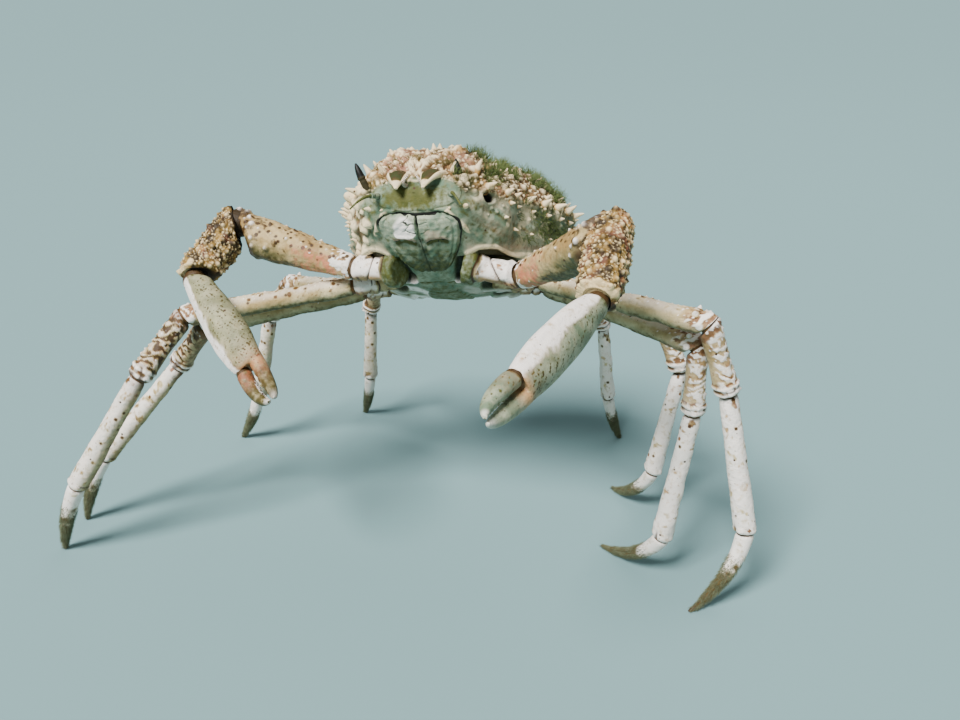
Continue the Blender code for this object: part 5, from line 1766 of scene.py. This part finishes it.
# Seed, how many clumps, blades in each and their spread; length and width of a blade, its bend and sway.
GROWTH = {
    "weed_margin": (58, 90, 22, 1.6, (2.0, 5.0), (0.14, 0.26), (0, 0, -0.3), 0.2),
    "weed_left": (52, 210, 24, 1.5, (2.5, 8.0), (0.14, 0.26), (0, 0.25, 0.15), 0.25),
    "weed_back": (54, 70, 12, 1.2, (1.5, 3.6), (0.12, 0.22), (0, 0.3, 0.1), 0.2),
    "setae_brow": (56, 42, 18, 1.2, (2.0, 4.5), (0.12, 0.2), BODY[:3, :3] @ (0, -0.7, -0.1), 0.12),
}


def blade_faces(count):
    """The sides and the two ends of three-sided blades, and the first point of each."""
    base = (np.arange(count) * BLADE_LEVELS * 3)[:, None, None]
    level, s = lattice(np.arange(BLADE_LEVELS - 1), np.arange(3))
    near, far = level * 3 + s, level * 3 + (s + 1) % 3
    sides = np.stack([near, far, far + 3, near + 3], -1).reshape(1, -1, 4) + base
    last = BLADE_LEVELS * 3 - 1
    ends = np.array([[2, 1, 0], [last - 2, last - 1, last]])[None] + base
    return sides, ends, base


def blade_corners(faces, base, uv, turn):
    """Places in the unwrap of the faces' corners, in a small patch round each blade's own place."""
    corner = uv[:, None] + BLADE_PATCH * np.stack([np.cos(turn), np.sin(turn)], -1)[None] * 0.5
    index = faces - base
    shift = (index // 3 / BLADE_LEVELS - 0.5) * BLADE_PATCH * 0.5
    found = np.take_along_axis(corner, (index % 3).reshape(len(uv), -1, 1), 1)
    return (found.reshape(*faces.shape, 2) + shift[..., None]).reshape(-1, faces.shape[-1], 2)


def blades(name, material, slot, roots, ways, uv, seed, length, width, lie, wave):
    """Thin tapered three-sided blades from roots, each bent towards its lie. None goes into the floor."""
    rng = np.random.default_rng(seed)
    count = len(roots)
    size = rng.uniform(*length, count)[:, None, None]
    thick = rng.uniform(*width, count)
    t = np.linspace(0, 1, BLADE_LEVELS)
    rise = t[None, :, None]
    sideways = unit(np.cross(ways, rng.normal(size=(count, 3))))
    sway = sideways[:, None] * np.sin(rise * math.pi * 1.3) * (wave * size)
    middle = roots[:, None] + ways[:, None] * (rise * size - 0.4) + lie * rise**1.4 * size + sway
    turn = circle(3)
    across = unit(np.cross(ways, sideways))[:, None]
    ring = across * np.cos(turn)[None, :, None] + sideways[:, None] * np.sin(turn)[None, :, None]
    taper = (1 - t**1.5) * 0.92 + 0.08
    points = middle[:, :, None] + ring[:, None] * (thick[:, None] * taper)[..., None, None]
    points[..., 2] = np.maximum(points[..., 2], BLADE_FLOOR)
    marks = np.zeros((*points.shape[:3], len(MARKS)))
    marks[..., 0] = rise
    sides, ends, base = blade_faces(count)
    piece = Piece()
    corners = blade_corners(sides, base, uv, turn)
    piece.put(points.reshape(-1, 3), marks.reshape(-1, len(MARKS)), sides.reshape(-1, 4), corners)
    piece.faces.append((ends.reshape(-1, 3), blade_corners(ends, base, uv, turn)))
    return piece.build(name, material, [], slot)


def pick(skin, seed, count, weight):
    """Roots, normals and unwrap places drawn over a grid by area and weight."""
    rng = np.random.default_rng(seed)
    share = np.cumsum((skin.row_step * skin.column_step * weight).ravel())
    index = np.searchsorted(share, rng.random(count) * share[-1])
    i, j = np.divmod(index, skin.shape[1])
    uv = np.stack([j / skin.shape[1], i / skin.shape[0]], -1)
    return skin.surface()[i, j], skin.normals[i, j], uv


def clumps(skin, seed, count, each, spread, weight):
    """Roots in clumps: some centres, and blades around each that fan out from it."""
    rng = np.random.default_rng(seed)
    centres, ways, uv = pick(skin, seed, count, weight)
    roots = np.repeat(centres, each, 0) + rng.normal(size=(count * each, 3)) * spread
    fan = np.repeat(ways, each, 0)
    offset = roots - np.repeat(centres, each, 0)
    offset -= fan * dot(offset, fan)[:, None]
    roots = np.repeat(centres, each, 0) + offset - fan * 0.6
    return roots, unit(fan + offset * 0.35 + rng.normal(size=roots.shape) * 0.22), np.repeat(uv, each, 0)


def build_growth(trunk, toes):
    """Weed on the back, setae between the horns, and felt on the toes."""
    x, y, z = axes_of(trunk.local)
    hind = ramp(-10, 45, x + 0.35 * y) * trunk.top
    under = ramp(116, 106, trunk.angle) * ramp(86, 92, trunk.angle) * ramp(-34, -10, y) * (x > 0)
    patchy = ramp(-0.1, 0.5, trunk.wave(26, 51))
    back = trunk.top * (1 - hind) * patchy * ramp(-30, 20, y)
    brow = bell(y + 58, 7) * ramp(8, 14, z) * ramp(34, 22, np.abs(x))
    places = {"weed_margin": under, "weed_left": hind * patchy, "weed_back": back, "setae_brow": brow}
    for name, (seed, count, each, spread, length, width, lie, wave) in GROWTH.items():
        roots, ways, uv = clumps(trunk, seed, count, each, spread, places[name])
        material = name.split("_")[0]
        blades(name, material, "carapace", roots, ways, uv, seed + 1, length, width, np.array(lie), wave)
    for limb, skin in toes.items():
        felt = ramp(0.22, 0.6, skin.t) * ramp(0.99, 0.94, skin.t)
        roots, ways, uv = pick(skin, 60, FELT_BLADES, felt)
        down = unit(np.gradient(skin.points, axis=0)).mean((0, 1))
        name, ways = f"{limb}_felt", unit(ways + down * 0.7)
        blades(name, "felt", "dactyl", roots, ways, uv, 61, *FELT, down * 0.5, 0.1)


# -------- stage
CAMERA_PLACE = (175.9, -533.2, 400.0)
CAMERA_AZIMUTH, CAMERA_PITCH = 12.8, 25.0
LENS, SENSOR = 37.5, 36.0
FLOOR_SIZE = 24.0
FLOOR_COLOUR, SKY_COLOUR, SKY_STRENGTH = (116, 148, 149), (0.82, 0.88, 0.9, 1), 0.2
SUN_WAY, SUN_STRENGTH, SUN_ANGLE = (0.3, 0.72, -1.0), 8.0, 20.0
LAMP_AIM = (0, 0, 0.15)
# Place in metres, size, power and colour of each lamp; all look at the crab.
LAMPS = {
    "sky": ((0.3, 0.8, 1.8), 1.4, 8.0, (0.93, 0.98, 1.0)),
    "fill": ((1.4, -1.3, 0.7), 1.2, 2.0, (0.95, 1.0, 1.0)),
}


def build_stage():
    """The floor, the light and the camera."""
    s = FLOOR_SIZE / 2
    mesh = bpy.data.meshes.new("floor")
    mesh.from_pydata([(-s, -s, 0), (s, -s, 0), (s, s, 0), (-s, s, 0)], [], [(0, 1, 2, 3)])
    floor = add_object("floor", mesh)
    g = Graph("floor")
    g.shader.inputs["Base Color"].default_value = srgb(*FLOOR_COLOUR)
    g.shader.inputs["Roughness"].default_value = 0.9
    mesh.materials.append(g.material)
    light_stage()
    a, e = math.radians(CAMERA_AZIMUTH), math.radians(CAMERA_PITCH)
    way = (-math.sin(a) * math.cos(e), math.cos(a) * math.cos(e), -math.sin(e))
    camera = bpy.data.cameras.new("camera")
    camera.lens, camera.sensor_width = LENS, SENSOR
    bpy.context.scene.camera = add_object("camera", camera, Vector(CAMERA_PLACE) * MM, way)


def light_stage():
    """A soft sun, two lamps and a pale sky."""
    world = bpy.data.worlds.new("studio")
    world.use_nodes = True
    sky = world.node_tree.nodes["Background"].inputs
    sky["Color"].default_value, sky["Strength"].default_value = SKY_COLOUR, SKY_STRENGTH
    bpy.context.scene.world = world
    sun = bpy.data.lights.new("sun", "SUN")
    sun.energy, sun.angle = SUN_STRENGTH, math.radians(SUN_ANGLE)
    add_object("sun", sun, way=SUN_WAY)
    for name, (spot, size, power, colour) in LAMPS.items():
        lamp = bpy.data.lights.new(name, "AREA")
        lamp.size, lamp.energy, lamp.color = size, power, colour
        add_object(name, lamp, spot, Vector(LAMP_AIM) - Vector(spot))


def main():
    build_stage()
    trunk = build_trunk()
    tree = trunk_tree(trunk)
    for word, side in SIDES.items():
        build_maxilliped(word, side, tree)
    build_abdomen(tree)
    build_eyes()
    build_antennae()
    build_antennules()
    for number, limb in enumerate(REACH):
        build_cheliped(limb, number)
    toes = {limb: build_leg(limb, number) for number, limb in enumerate(STANCE)}
    build_growth(trunk, toes)


main()
